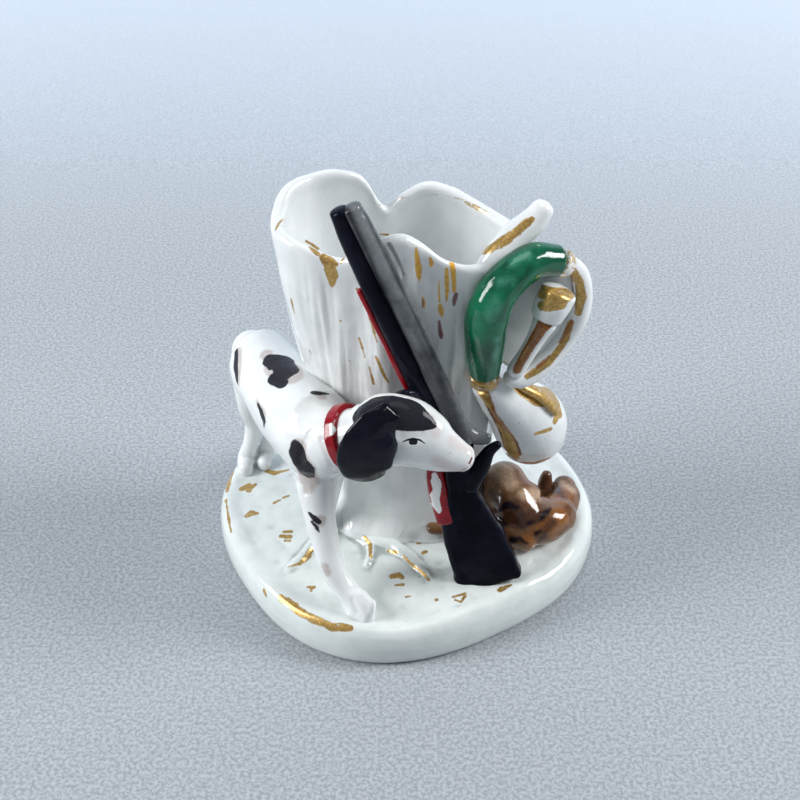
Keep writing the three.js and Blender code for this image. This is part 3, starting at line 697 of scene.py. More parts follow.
vaseMarks = {
    "drips": [
        [[416, 248, 1], [417, 256, 2.4], [418.5, 268, 3.6], [419, 276, 2.4], [419.5, 281, 0.8]],
        [[422.5, 297, 1], [424, 303, 1.7], [424, 308, 1.1]],
        [[430, 258, 1.5], [431.5, 263, 2.5], [431, 266, 1.5]],
        [[451, 259, 2.6], [453, 270, 2.8], [454, 282, 2.5], [454, 291, 2]],
        [[446.5, 269, 1.8], [447, 280, 2.5], [447, 290, 2.1], [446.5, 301, 1]],
        [[440, 306, 2.4], [441, 311, 3], [442, 315.5, 1.6]],
        [[439, 281, 0.7], [439, 292, 0.9], [439.5, 302, 1]],
    ],
    "dripsDark": [
        [[456, 294, 2], [454.5, 300, 2.6], [454, 305, 1.5]],
        [[439, 321, 1], [440, 329, 1.9], [441, 335, 2.5], [441.5, 338, 1.4]],
        [[423, 300, 0.9], [422.5, 307, 0.8]],
    ],
    # painted shadow that the gun's barrels cast on the vase wall
    "vaseBarrelShadow": [
        [[389, 244, 2.2], [394, 252, 2], [399, 262, 1.5], [404, 275, 1.1]],
    ],
    "vaseGold": [
        [[306, 241, 1.4], [312, 244.5, 1.5], [318, 249, 1.2]],
        [[324, 257, 4.2], [330, 261, 4.4], [336, 264, 3]], [[328, 270, 4.2], [331, 278, 4], [332, 286, 1.6]],
        [[341, 263, 1.1], [344, 258, 1.7]], [[275.5, 230, 0.8], [279, 223, 1.1], [283, 219.5, 1.1]],
        [[291, 299, 0.8], [292.5, 306, 1.1], [294.5, 313, 0.8]], [[340.5, 321, 1.4]],
        [[309.5, 350, 0.8], [311, 354, 0.7]],
        [[357, 289, 1.3], [361, 295, 1.6], [366, 304, 1.4], [370, 318, 1.2], [374, 332, 1], [377, 342, 0.9]],
        [[359, 338, 0.9], [362, 347, 1.1], [365, 358, 0.6]], [[349.8, 361, 0.8]],
        [[369.5, 367, 0.9], [371.5, 376, 1.1], [373.5, 384, 0.8]],
        [[376, 357, 1], [380, 366, 1.3], [385, 377, 1.4], [389, 383, 1]],
        [[380, 234, 0.8], [388, 235, 0.9], [399, 236, 0.6]],
        [[322, 257, 3], [329, 265, 6.4], [333, 275, 5.4], [332, 284, 2.6]],
        [[318, 254, 2.4], [310, 247, 1.6]],
    ],
    "rimGold": [
        [
            [378, 205, 0.6], [395, 200, 0.6], [412, 196, 0.6], [434, 194.5, 0.6], [450, 196.5, 0.6],
            [463, 200, 0.7],
        ],
        [[465, 202, 1.4], [475, 207, 2.4], [486, 213, 2]],
    ],
    "branchGold": [
        [[476, 254, 3.8], [490, 249, 5.2], [503, 241, 5.6], [516, 232, 5], [527, 223, 4], [532, 219, 2.2]],
    ],
}


def ease(value, low, high):
    share = min(max((value - low) / (high - low), 0), 1)
    return share * share * (3 - 2 * share)


def rimAt(degrees):
    rim = vaseShape["rim"]
    place = (degrees % 360) / (360 / len(rim))
    start, share = int(place), place - int(place)
    near = [rim[(start + k) % len(rim)] for k in (-1, 0, 1, 2)]
    reach, drop = curvePoint(np.array(near, float), 1 + share, True)
    return reach, vaseShape["height"] - drop


def trunkReach(degrees, rise, smooth=False):
    turn = math.radians(degrees)
    east, north = math.cos(turn), math.sin(turn)
    flare = vaseShape["flare"] * (1 - ease(rise, 0, vaseShape["flareTop"]))
    half, deep = vaseShape["waistHalf"] + flare, vaseShape["waistDeep"] + flare / 2
    waist = 1 / math.hypot(east / half, north / deep)
    reach = waist + (rimAt(degrees)[0] - waist) * ease(rise, *vaseShape["spread"])
    if smooth:
        return reach
    sway = vaseShape["sway"] * math.sin(2 * turn)
    folds = math.cos(vaseShape["flutes"] * turn + sway) * math.sin(math.pi * rise)
    around, upwards = vaseShape["drift"]
    drift = noise.noise(Vector((east * around, north * around, rise * upwards)))
    pleats = 0
    for count, size in vaseShape["pleats"]:
        spot = Vector((east * count, north * count, rise * vaseShape["pleatRise"] + count))
        ridge = 1 - vaseShape["pleatEdge"] * abs(noise.noise(spot))
        pleats += size * ridge * (vaseShape["pleatShare"] + drift)
    pleats *= ease(rise, *vaseShape["pleatsFrom"])
    return reach + vaseShape["bark"] * folds + pleats * (1 - ease(rise, *vaseShape["pleatsTo"]))


def trunkRing(rise, bottom, inwards, lift=0.0, plain=False, smooth=False):
    ring = []
    for k in range(vaseShape["segments"]):
        degrees = 360 * k / vaseShape["segments"]
        turn = math.radians(degrees)
        edge, top = rimAt(degrees)
        reach = (edge if plain else trunkReach(degrees, rise, smooth)) - inwards
        x = vaseShape["axis"][0] + reach * math.cos(turn)
        y = vaseShape["axis"][1] + reach * math.sin(turn)
        ring.append(Vector((x, y, bottom + (top - bottom) * rise + lift)))
    return ring


def makeVase(ground):
    wall, foot, floor, roll = (vaseShape[key] for key in ("wall", "foot", "floor", "lipRoll"))
    rings = []
    for k in range(vaseShape["outsideRows"] + 1):
        rise = k / vaseShape["outsideRows"] * vaseShape["outsideTop"]
        rings.append(trunkRing(rise, foot, -roll * ease(rise, vaseShape["lipFrom"], vaseShape["outsideTop"])))
    for k in range(vaseShape["lipRows"] + 1):
        turn = math.pi * k / vaseShape["lipRows"]
        inwards = -roll + (wall + roll * vaseShape["lipWidth"]) * (0.5 - 0.5 * math.cos(turn))
        rings.append(trunkRing(1, foot, inwards, -(wall + roll) * 0.5 * (1 - math.sin(turn)), plain=True))
    for k in range(vaseShape["insideRows"] + 1):
        rise = vaseShape["insideTop"] - k / vaseShape["insideRows"] * vaseShape["insideFall"]
        rings.append(trunkRing(rise, floor, wall * (vaseShape["insideThick"] - 0.5 * rise), smooth=True))
    for rise, thick in vaseShape["floorCorner"]:
        rings.append(trunkRing(rise, floor, wall * thick, smooth=True))
    bm = bmesh.new()
    sweepRings(bm, rings)
    stub = [[x, y, z, vaseShape["branchRadius"] * size] for x, y, z, size in vaseShape["branch"]]
    addLoft(bm, stub, spot=vaseShape["branchRoot"], dome=vaseShape["branchDome"])
    piece = fusePiece("stumpVase", bm, vaseShape["voxel"], vaseShape["smoothing"])
    waves(piece, *vaseShape["ripple"], where=above(*vaseShape["rippleFrom"]))
    flareOnto(piece, ground, *vaseShape["fillet"])
    waves(piece, *vaseShape["footLumps"], where=above(*vaseShape["footFrom"]))
    layers = ("drips", "dripsDark", "vaseBarrelShadow", "vaseGold", "branchGold")
    refineNear(piece, [stroke for layer in layers for stroke in vaseMarks[layer]], vaseShape["refine"])
    paintAll(piece, vaseMarks)
    material = glazedMaterial("vaseGlaze", "white", [
        ("vaseGold", "gold", 0.7, 0.14, 0.06, 1), ("rimGold", "gold", 0.3, 0.14, 0.35, 0.8),
        # the grey stripe is painted shadow of the gun's barrels
        ("branchGold", "gold", 1.2, 0.2, 0.12, 1), ("vaseBarrelShadow", "grey", 0.25, 0.25, 0, 0.75),
        ("drips", "ochre", 0.3, 0.18, 0, 1), ("dripsDark", "darkRed", 0.3, 0.18, 0, 0.92),
    ], poolAndShade=0.85)
    finishPiece(piece, material, "white_glaze", "stump_vase", "branch_stub")


# Pointer: body, head, legs and tail under one glaze, with painted spots, and the stations of its ears

dogSpot = (-30, -9.982, 12.276)
dogShape = {
    "torso": [
        [-9.6, 25.6, 36, 5.6], [-7.4, 21.5, 36, 8.6, 9.2], [-2.2, 11, 35.8, 9.4, 10], [4, -1, 36.6, 10, 10.8],
        [10, -11.5, 38, 9.8, 10.8], [14.8, -17.4, 42, 7.2], [19.8, -19.5, 45, 6.4],
    ],
    "head": [
        [21, -19, 46.5, 6], [25.5, -21, 48, 6.6, 8.8], [30, -22, 47.6, 6.4, 9.2], [34, -22.6, 46, 5.6, 7.8],
        [37.3, -23, 44, 4.6, 6.4], [40.2, -23.2, 42.6, 3.9, 4.9], [43.2, -23.4, 41.4, 3, 3.2],
    ],
    "earRight": [
        [27, -25, 55.4, 3.6, 1.6], [24, -27.6, 53, 5.6, 1.8], [21.6, -29, 48.6, 6.4, 1.9],
        [20.8, -29, 43.6, 6, 1.8], [21.6, -28, 40, 4, 1.5],
    ],
    "earLeft": [
        [28.5, -17.5, 54.4, 3, 1.4], [30, -15.5, 51.5, 4.2, 1.5], [30.5, -14.6, 46.5, 4.6, 1.6],
        [31, -15, 41.5, 3.2, 1.4],
    ],
    "forelegRight": [
        [8.4, -12, 33, 5.6], [8.8, -17, 24, 4.5], [10.4, -22, 15, 3.4], [13, -26, 7, 3.1],
        [16, -28.6, 3.2, 3.2, 2.8], [18.6, -30.8, 1.7, 4.1, 2.4], [21, -32.8, 0.9, 3.9, 1.7],
    ],
    "forelegLeft": [
        [13, -8, 31, 5], [11.5, -6.5, 20, 3.2], [10.2, -5, 10, 2.4], [9, -4.4, 4, 2.2],
        [8.6, -6, 1.6, 2.4, 2], [9.4, -9, 0.8, 2.2, 1.7],
    ],
    "hindleg": [
        [3.4, 1.5, 33, 6.2], [2.2, 0.5, 27, 5], [1.2, 0.5, 20, 3.2], [1.6, 2.4, 12.6, 2.4], [0.4, 2, 6, 2.2],
        [-1, 1.4, 1.5, 2.5, 1.9], [-1, -2, 0.8, 2],
    ],
    "hindlegPlaces": [(-12.6, 21.8), (-7.8, 24)],
    "tail": [[-9.5, 27, 38.5, 2.3], [-11, 31, 35.5, 2], [-10.6, 32.6, 29, 1.6], [-9.8, 32.4, 22, 1]],
    "voxel": 0.33, "smoothing": 3, "fillet": (2.4, 0.7), "lumps": (6.5, 0.28, 2.6), "refine": 0.5,
    # what is carved, with its depth and width, and then its strokes by photograph pixels
    "carved": (("toes", 0.22, 0.8), ("folds", 0.4, 1.2), ("socket", 0.4, 1.6)),
    "toes": [
        [[352, 600, 0.5], [357, 611, 1]], [[362, 598, 0.5], [368, 610, 1]], [[372, 596, 0.5], [378, 606, 1]],
    ],
    "folds": [
        [[312, 430, 1], [303, 446, 1.5], [300, 462, 1]], [[322, 440, 1], [330, 458, 1.5], [336, 472, 1]],
        [[286, 470, 1], [297, 482, 1.5], [305, 492, 1]],
    ],
    "socket": [[[404, 436, 2], [420, 435, 2]]],
}
dogMarks = {
    "dogBlack": [
        [[271, 359, 8.5], [282, 361, 12], [286, 371, 13], [279, 379, 9]], [[266, 362, 4], [272, 366, 6]],
        [[273, 378, 7], [283, 384, 6]], [[236, 352, 3], [235.5, 366, 5], [237, 380, 3.5]],
        [[258, 404, 2], [261, 412, 4.6], [264, 420, 4.2], [264, 427, 1.4]],
        [[313, 392.5, 2.6], [319, 393, 2.4], [329, 394, 0.8]],
        [[296, 447, 7.5], [299, 456, 12], [304, 466, 12.5], [306, 474, 9]],
        [[309, 513, 1.8], [315, 519, 3.8], [319, 522, 2.6]],
        [[312, 522, 2], [317, 528, 2.4], [319, 532, 1.2]],
    ],
    "dogPink": [
        [[275, 365, 13], [285, 370, 17], [293, 377, 11]], [[266, 354, 7]],
        [[238, 352, 5], [238, 366, 6.6], [238, 382, 5]], [[299, 448, 10], [304, 464, 14], [308, 478, 12]],
        [[308, 488, 7]], [[257, 402, 2.5], [263, 414, 6]], [[322, 396, 5]], [[320, 521, 6]],
        [[325, 567, 4.5], [327, 573, 4]],
    ],
    "headBlack": [
        [[358, 414, 10], [372, 410, 16], [392, 411, 19.5]],
        [[392, 411, 19.5], [408, 413.5, 18], [420, 419, 12.5]],
        [[420, 419, 12.5], [430, 423, 7], [433, 424, 5]], [[384, 430, 12], [391, 438, 4.5]],
        [[364, 407, 6], [375, 403, 8], [390, 402, 8], [402, 403, 6]],
        [[372, 414, 14], [368, 428, 18], [366, 440, 12]],
    ],
    "headPink": [
        [[432, 420, 7], [436, 432, 6]], [[437, 460, 7], [452, 470, 6], [470, 470, 5]],
        [[452, 440, 6], [472, 452, 5]],
    ],
    "eyeLid": [
        [[402.5, 442, 0.5], [407, 440, 1], [413, 438.8, 1.2], [420, 440, 1], [425, 443.5, 0.5]],
    ],
    "pupil": [
        [[411.8, 442, 3], [414.6, 442, 3]],
    ],
    "nostril": [
        [[471.8, 458.2, 1.4], [469.6, 463, 1.5]],
    ],
    "headDots": [
        [[450, 453, 0.8]], [[398, 471, 0.7]], [[433, 446, 0.5]],
    ],
    "mouth": [
        [[472, 464, 0.6], [462, 470.5, 0.6], [452, 474, 0.6], [440, 474.5, 0.5], [430, 472, 0.5]],
    ],
}


def makeDog(ground):
    bm = bmesh.new()
    addLoft(bm, dogShape["torso"], spot=dogSpot, sides=40)
    addLoft(bm, dogShape["head"], spot=dogSpot, sides=40, dome=0.8)
    for key in ("forelegRight", "forelegLeft"):
        addLoft(bm, dogShape[key], front, dogSpot)
    for right, back in dogShape["hindlegPlaces"]:
        moved = [[x + right, y + back, z, *half] for x, y, z, *half in dogShape["hindleg"]]
        addLoft(bm, moved, front, dogSpot)
    addLoft(bm, dogShape["tail"], front, dogSpot)
    piece = fusePiece("pointerBody", bm, dogShape["voxel"], dogShape["smoothing"])
    flareOnto(piece, ground, *dogShape["fillet"])
    waves(piece, *dogShape["lumps"])
    for key, depth, width in dogShape["carved"]:
        carve(piece, dogShape[key], depth, width)
    layers = ("eyeLid", "pupil", "nostril", "headDots", "mouth")
    refineNear(piece, [stroke for layer in layers for stroke in dogMarks[layer]], dogShape["refine"])
    paintAll(piece, dogMarks)
    material = glazedMaterial("pointerGlaze", "white", [
        ("dogPink", "halo", 0.9, 0.55, 0, 0.6), ("headPink", "pink", 0.8, 0.9, 0, 0.45),
        ("dogBlack", "black", 0.9, 0.18, 0, 0.97), ("headBlack", "black", 0.7, 0.14, 0, 0.98),
        ("mouth", "darkRed", 0.08, 0.1, 0, 0.55), ("nostril", "darkRed", 0.1, 0.1, 0, 0.95),
        ("eyeLid", "black", 0.05, 0.06, 0, 0.98), ("pupil", "black", 0.05, 0.06, 0, 0.98),
        ("headDots", "halo", 0.05, 0.08, 0, 0.8),
    ], poolAndShade=0.6, coat=0.1, gloss=0.4)
    finishPiece(
        piece, material, "white_glaze", "dog_torso", "dog_head", "dog_foreleg_right", "dog_foreleg_left",
        "dog_hindleg_right", "dog_hindleg_left", "dog_tail",
    )


# Ears: black flaps with a sharp edge against the cheek

earShape = {"dome": 0.7, "voxel": 0.25, "smoothing": 5, "lumps": (4, 0.3, 6.6)}


def makeEars():
    for name, key, node in (
        ("pointerEarNear", "earRight", "dog_ear_right"), ("pointerEarFar", "earLeft", "dog_ear_left"),
    ):
        bm = bmesh.new()
        addLoft(bm, dogShape[key], front, dogSpot, sides=36, dome=earShape["dome"])
        enamel = glazedMaterial(name + "Enamel", "black", poolAndShade=0, coat=0.03, gloss=0.2)
        plainPiece(name, bm, earShape["voxel"], earShape, {}, enamel, "black_enamel", node)


# Collar: a red band round the neck, worn white in one place

collarShape = {
    "near": 0.3, "far": 0.65, "proud": 1.2, "sides": 56, "dome": 0.12, "voxel": 0.2, "smoothing": 4,
    "lumps": (2.2, 0.12, 1.7),
}
collarMarks = {
    "collarWorn": [[[331, 425, 1.6], [333, 430, 3], [331.5, 434, 2]], [[326, 452, 0.8], [328, 457, 1]]],
}


def makeCollar():
    neck, neckEnd = np.array(dogShape["torso"][-2]), np.array(dogShape["torso"][-1])
    rows = [neck + (neckEnd - neck) * share for share in (collarShape["near"], collarShape["far"])]
    band = [[*row[:3], row[3] + collarShape["proud"]] for row in rows]
    bm = bmesh.new()
    addLoft(bm, band, spot=dogSpot, sides=collarShape["sides"], dome=collarShape["dome"])
    worn = [("collarWorn", "white", 0.9, 0.1, 0, 0.95)]
    material = glazedMaterial("collarEnamel", "red", worn, poolAndShade=0, coat=0.1)
    voxel = collarShape["voxel"]
    plainPiece("pointerCollar", bm, voxel, collarShape, collarMarks, material, "red_enamel", "dog_collar")


# Gun: stock, two barrels, lock, hammer and sling, in its own frame (across, along from the butt, out)

gunFrame = {
    "butt": (20.496, -30.314, 11.463), "across": (0.9502, 0, 0.3116), "along": (-0.3093, 0.12, 0.9434),
    "face": (-0.0374, -0.9928, 0.114),
}
stockShape = {
    "outline": [
        [-8, -1], [8.8, -1], [8.4, 6], [7.9, 13], [6.6, 19], [5.3, 25], [5.4, 31], [6.6, 36], [8.6, 40],
        [0.2, 40], [-0.8, 34], [-1.8, 29], [-3.4, 24.5], [-6, 20], [-7, 14], [-7.4, 8],
    ],
    "thickness": 5, "bevel": 1.5, "bevelSteps": 5, "sharp": 1.2, "fillet": (1.6, 0.35),
    "lumps": (5, 0.2, 6.1), "voxel": 0.35, "smoothing": 4, "gloss": 0.06,
}
gunShape = {
    # the barrels' middle line by (along, across), then stations along them, with shares of the gap and radius
    "barrelLine": ((40, 4.4), (105, -1.2)), "barrelRadius": 2.6, "barrelApart": 2,
    "barrels": [(41, 1, 1), (87.15, 0.95, 0.98), (99, 0.78, 0.97), (104, 0.6, 0.92)],
    # voxel, then sides, spans and dome of the lofts
    "barrelSkin": (0.3, 36, 14, 0.35), "slingSkin": (0.22, 28, 14, 0.8), "partSkin": (0.22, 28, 10, 0.8),
    "smoothing": 3, "lumps": (4, 0.1, 3.3), "coat": 0.02, "gloss": 0.35, "blackGloss": 0.08,
    "lock": [[7, 47, 0, 1.2], [8.3, 42, 0, 1.9], [11.4, 40, 0, 1.5, 1.2]],
    "hammer": [[4, 29, 0.2, 2.6], [7.6, 33, 0.4, 2.3], [11, 36.8, 0.4, 1.5], [13.4, 38, 0.4, 1]],
    # the sling beside the barrels, by (along, radius), and where it hangs over the stock
    "slingBeside": 4.95, "slingHigh": [(85, 0.75), (63, 0.85), (44, 1.1)],
    "slingLow": [[-3.4, 32, 0.8, 2.4, 1.3], [-4.4, 21, 1.4, 2.4, 1.3]],
}
slingMarks = {
    "slingWorn": [
        [[434, 476, 3], [436, 484, 4.8], [437, 490, 3.6], [435, 497, 5.4], [436, 505, 4.4], [439, 512, 2]],
    ],
}
# painted light on the grey barrel: dark strips of painted shade along it, a painted highlight down its middle
# and painted shade towards its lower end
barrelMarks = {
    "barrelShade": [
        [[346, 208, 2.4], [371, 262, 2.6], [393, 312, 3], [416, 362, 3.6], [437, 412, 5], [452, 440, 6]],
        [[366, 214, 0.8], [393, 270, 0.8], [418, 322, 0.9], [440, 370, 1]],
    ],
    "barrelHighlight": [[[356, 209, 5], [379, 258, 6], [398, 296, 4]], [[410, 330, 2], [440, 392, 2]]],
    "barrelLowerShade": [[[424, 356, 9], [446, 402, 10], [462, 436, 10]]],
}
# a white painted highlight on the tip of the hammer
hammerMarks = {"hammerTipHighlight": [[[500, 441.5, 1.6], [502, 440, 1.2]]]}


def gunPoint(across, along, out):
    places = [Vector(gunFrame[key]) for key in ("butt", "across", "along", "face")]
    return places[0] + places[1] * across + places[2] * along + places[3] * out


def barrelAcross(along):
    (low, start), (high, end) = gunShape["barrelLine"]
    return start + (end - start) * (along - low) / (high - low)


def makeStock(ground):
    bm = bmesh.new()
    outline = stockShape["outline"]
    verts = bmesh.ops.create_circle(bm, cap_ends=True, segments=len(outline), radius=1)["verts"]
    for vert, (across, along) in zip(verts, outline):
        vert.co = gunPoint(across, along, -stockShape["thickness"] / 2)
    grown = bmesh.ops.extrude_face_region(bm, geom=bm.faces[:] + bm.edges[:] + bm.verts[:])["geom"]
    lifted = [part for part in grown if isinstance(part, bmesh.types.BMVert)]
    bmesh.ops.translate(bm, vec=Vector(gunFrame["face"]) * stockShape["thickness"], verts=lifted)
    bmesh.ops.recalc_face_normals(bm, faces=bm.faces)
    rims = [e for e in bm.edges if e.calc_face_angle(0) > stockShape["sharp"]]
    bmesh.ops.bevel(
        bm, geom=rims, offset=stockShape["bevel"], segments=stockShape["bevelSteps"],
        affect="EDGES", profile=0.5, material=-1,
    )
    stock = fusePiece("gunStockBlack", bm, stockShape["voxel"], stockShape["smoothing"])
    flareOnto(stock, ground, *stockShape["fillet"])
    waves(stock, *stockShape["lumps"])
    enamel = glazedMaterial("stockEnamel", "black", poolAndShade=0, coat=0, gloss=stockShape["gloss"])
    finishPiece(stock, enamel, "black_enamel", "gun_stock")


def gunPart(name, stations, ground, slot, node, marks={}, layers=(), skin="partSkin"):
    voxel, *settings = gunShape[skin]
    bm = bmesh.new()
    addLoft(bm, [[*gunPoint(*s[:3]), *s[3:]] for s in stations], front, (0, 0, 0), *settings)
    gloss = gunShape["blackGloss" if ground == "black" else "gloss"]
    enamel = glazedMaterial(name + "Enamel", ground, layers, poolAndShade=0, coat=gunShape["coat"], gloss=gloss)
    plainPiece(name, bm, voxel, gunShape, marks, enamel, slot, node)


def makeGun(ground):
    makeStock(ground)
    radius, apart = gunShape["barrelRadius"], gunShape["barrelApart"]
    # painted highlight and painted shade on the grey barrel
    barrelLightAndShade = [
        ("barrelHighlight", "paleGrey", 0.9, 0.9, 0, 0.4), ("barrelLowerShade", "black", 1.2, 1.6, 0, 0.55),
        ("barrelShade", "black", 0.5, 0.8, 0, 0.92),
    ]
    for side, name, ground, slot, node, marks, layers in (
        (-1, "gunBarrelBlack", "black", "black_enamel", "gun_barrel_left", {}, []),
        (1, "gunBarrelGrey", "grey", "steel_enamel", "gun_barrel_right", barrelMarks, barrelLightAndShade),
    ):
        rows = []
        for along, gap, size in gunShape["barrels"]:
            rows.append([barrelAcross(along) + side * apart * gap, along, 0, radius * size])
        gunPart(name, rows, ground, slot, node, marks, layers, "barrelSkin")
    gunPart("gunLockPlate", gunShape["lock"], "grey", "steel_enamel", "gun_lock")
    # painted highlight on the hammer's tip
    tipHighlight = [("hammerTipHighlight", "white", 0.3, 0.12, 0, 0.9)]
    gunPart("gunHammerSpur", gunShape["hammer"], "black", "black_enamel", "gun_hammer", hammerMarks, tipHighlight)
    rows = []
    for along, size in gunShape["slingHigh"]:
        rows.append([barrelAcross(along) - gunShape["slingBeside"], along, 0, size])
    rows += gunShape["slingLow"]
    worn = [("slingWorn", "white", 1.6, 0.1, 0, 0.95)]
    gunPart("gunSlingRed", rows, "red", "red_enamel", "gun_sling", slingMarks, worn, "slingSkin")


# Horn: a coiled hunting horn on the branch, with a green sleeve, a strap and a web that closes the coil

hornShape = {
    "bell": [
        [-0.4, -3, -33.6, 3.7], [3.2, -0.8, -39, 5.4], [7.6, 2.4, -45, 7.8], [11.2, 5, -51.4, 9.4],
        [12.8, 7, -58, 8.46],
    ],
    "binding": [
        [6.8, -1.2, -34.8, 0.9, 1.4], [9.2, -1.1, -36.4, 1.1, 1.8], [11.6, -0.4, -38.2, 1.2, 2.1],
        [14, 0.6, -40.6, 1.3, 2.6], [16, 1, -43, 1.3, 2.8], [17.2, 0.6, -45, 0.9, 2.2],
    ],
    "sleeve": [
        [-1, -4.4, -28.6, 3.87], [-1.3, -5.8, -20, 4.68], [-1.2, -6.2, -13.4, 5.04], [0.4, -5.6, -7.6, 4.68],
        [5.4, -2.6, -2.7, 4.37], [9.4, 0, -1.8, 4.19], [14.4, 2.4, -3, 3.78],
    ],
    "ferruleLower": [[-1, -4.1, -30, 3.69], [-0.8, -3.5, -32, 3.69]],
    "ferruleUpper": [[15.6, 2.7, -3.8, 3.42], [17, 3, -5, 2.97]],
    "tube": [
        [16.4, 2.8, -3.4, 2.2], [20, 3.6, -7.4, 2.3], [21.4, 3.2, -13, 2.3], [20.2, 2, -19.6, 2.35],
        [16.8, 0.6, -25.4, 2.4], [12.6, -1.8, -29.4, 2.4], [8, -4, -31.6, 2.2], [4.6, -5, -30.6, 1.9],
    ],
    "web": [
        [11.5, 5, -5, 4.5, 1.4], [12, 4.6, -10, 8, 1.4], [11, 3.2, -17, 9, 1.4], [9.4, 1.4, -24, 8, 1.4],
        [5.6, -0.6, -30, 6.4, 1.4],
    ],
    "mouthpipe": [[6, -5.2, -28.6, 2.1], [9.8, -4.6, -21, 2.1], [12.2, -4, -15.6, 2.9]],
    "mouthpiece": [[12.6, -3.8, -14, 3.66], [13.8, -3.2, -11, 4.3], [14.9, -2.6, -8.4, 4.3]],
    "strap": [[2.2, 0.4, -5.4, 1.3], [5, 1.8, -3.8, 1.4], [8, 3, -2.6, 1.2]],
    # dome of the ends and voxel
    "skins": {
        "bell": (0.25, 0.3), "tube": (0.6, 0.25), "sleeve": (0.35, 0.28), "binding": (0.3, 0.22),
        "ferruleLower": (0.3, 0.22), "ferruleUpper": (0.3, 0.22), "mouthpipe": (0.6, 0.22),
        "mouthpiece": (0.35, 0.22), "strap": (0.6, 0.22),
    },
    "wear": {"binding": 0.36, "ferruleLower": 0.42, "ferruleUpper": 0.52},
    "sides": 44, "webSides": 32, "webDome": 0.5, "smoothing": 3, "lumps": (5, 0.14, 8.2),
}
bellMarks = {
    "hornGold": [
        [[478, 384, 4.6], [484, 396, 5.2], [489, 406, 3]], [[507, 434, 3.4], [511, 446, 6], [514, 457, 5]],
        [[503, 452, 4]], [[536, 434, 2], [544, 431, 2.6], [551, 429, 2]],
        [[513, 384, 3], [522, 391, 6], [534, 397, 8], [546, 400, 8], [554, 404, 8]],
        [[556, 406, 6], [557, 415, 5], [555, 421, 3.4]],
        [[511, 383, 4], [522, 391, 6], [538, 392, 7.5], [551, 392, 7], [557, 402, 6], [560, 413, 4.5]],
        [[497, 424, 2.4], [505, 434, 4.6], [510, 445, 8], [513, 456, 7]],
    ],
    "hornDark": [
        [[481, 384, 5], [487, 400, 5], [494, 416, 4.4], [502, 428, 6.4], [509, 442, 10], [513, 455, 10]],
    ],
    "hornEdge": [
        [[477, 378, 1], [484, 398, 1.2], [492, 416, 1.2], [500, 430, 1.6], [503, 444, 1.6]],
        [[515, 440, 1], [520, 452, 1.4]], [[508, 458, 2], [516, 461, 2]],
    ],
    "hornOrange": [
        [[505, 461, 1.4], [519, 463, 2], [535, 463, 2.2], [550, 458, 1.4]],
    ],
    "hornSpeck": [
        [[534, 407, 0.5]], [[545, 439, 0.6]], [[510, 408, 0.5]], [[548, 445, 0.5]], [[520, 430, 0.4]],
        [[528, 399, 0.7]], [[512, 398, 0.6]], [[519, 423, 0.7]], [[534, 447, 0.8]], [[527, 445, 0.6]],
        [[520, 449, 0.7]], [[541, 440, 0.6]], [[508, 412, 0.6]],
    ],
}
tubeMarks = {
    "tubeDark": [
        [[571, 276, 1.5], [574, 296, 2]], [[572, 322, 2.4], [566, 332, 2.6], [560, 342, 1.8]],
        [[550, 356, 1.4], [538, 367, 1.8]],
    ],
    "tubeGold": [
        [[573, 270, 3], [579, 282, 5], [581, 298, 5.5], [578, 312, 4]],
        [[570, 324, 3.4], [566, 338, 3.6], [559, 350, 3.4], [550, 362, 3.6], [538, 370, 3.4], [527, 376, 3]],
    ],
}
sleeveMarks = {
    "sleevePale": [
        [[489, 316, 5], [496, 303, 6]], [[515, 262, 5], [527, 254, 5]], [[500, 282, 3], [510, 280, 4]],
        [[498, 340, 2], [496, 358, 2.5]],
    ],
    "sleeveDeep": [
        [[468, 330, 3], [469, 348, 3], [473, 362, 2]], [[505, 265, 3], [520, 246, 3], [530, 242, 2]],
        [[507, 300, 4], [503, 318, 4]], [[530, 268, 3], [520, 290, 3]], [[488, 345, 3], [490, 362, 3]],
    ],
}
pipeMarks = {
    "pipeBrown": [[[546, 322, 8], [539, 332, 6], [530, 346, 5], [522, 360, 4.6], [517, 370, 4.6]]],
    "pipeLight": [[[528, 346, 0.8], [521, 359, 0.8]]],
}
cupMarks = {
    "cupFace": [
        [[541, 291, 7], [552, 294, 10], [562, 294, 10], [569, 292, 7]],
        [[541, 306, 5], [550, 306, 6], [562, 305, 5]],
    ],
    "cupLine": [[[537, 297, 1], [542, 292, 1], [549, 291.5, 1], [557, 288.5, 1], [566, 286.5, 1]]],
}


def hornPart(name, key, material, slot, node, marks={}):
    dome, voxel = hornShape["skins"][key]
    root = vaseShape["branchRoot"]
    bm = bmesh.new()
    addLoft(bm, hornShape[key], front, root, sides=hornShape["sides"], dome=dome)
    if key == "tube":
        addLoft(bm, hornShape["web"], front, root, sides=hornShape["webSides"], dome=hornShape["webDome"])
    plainPiece(name, bm, voxel, hornShape, marks, material, slot, node)


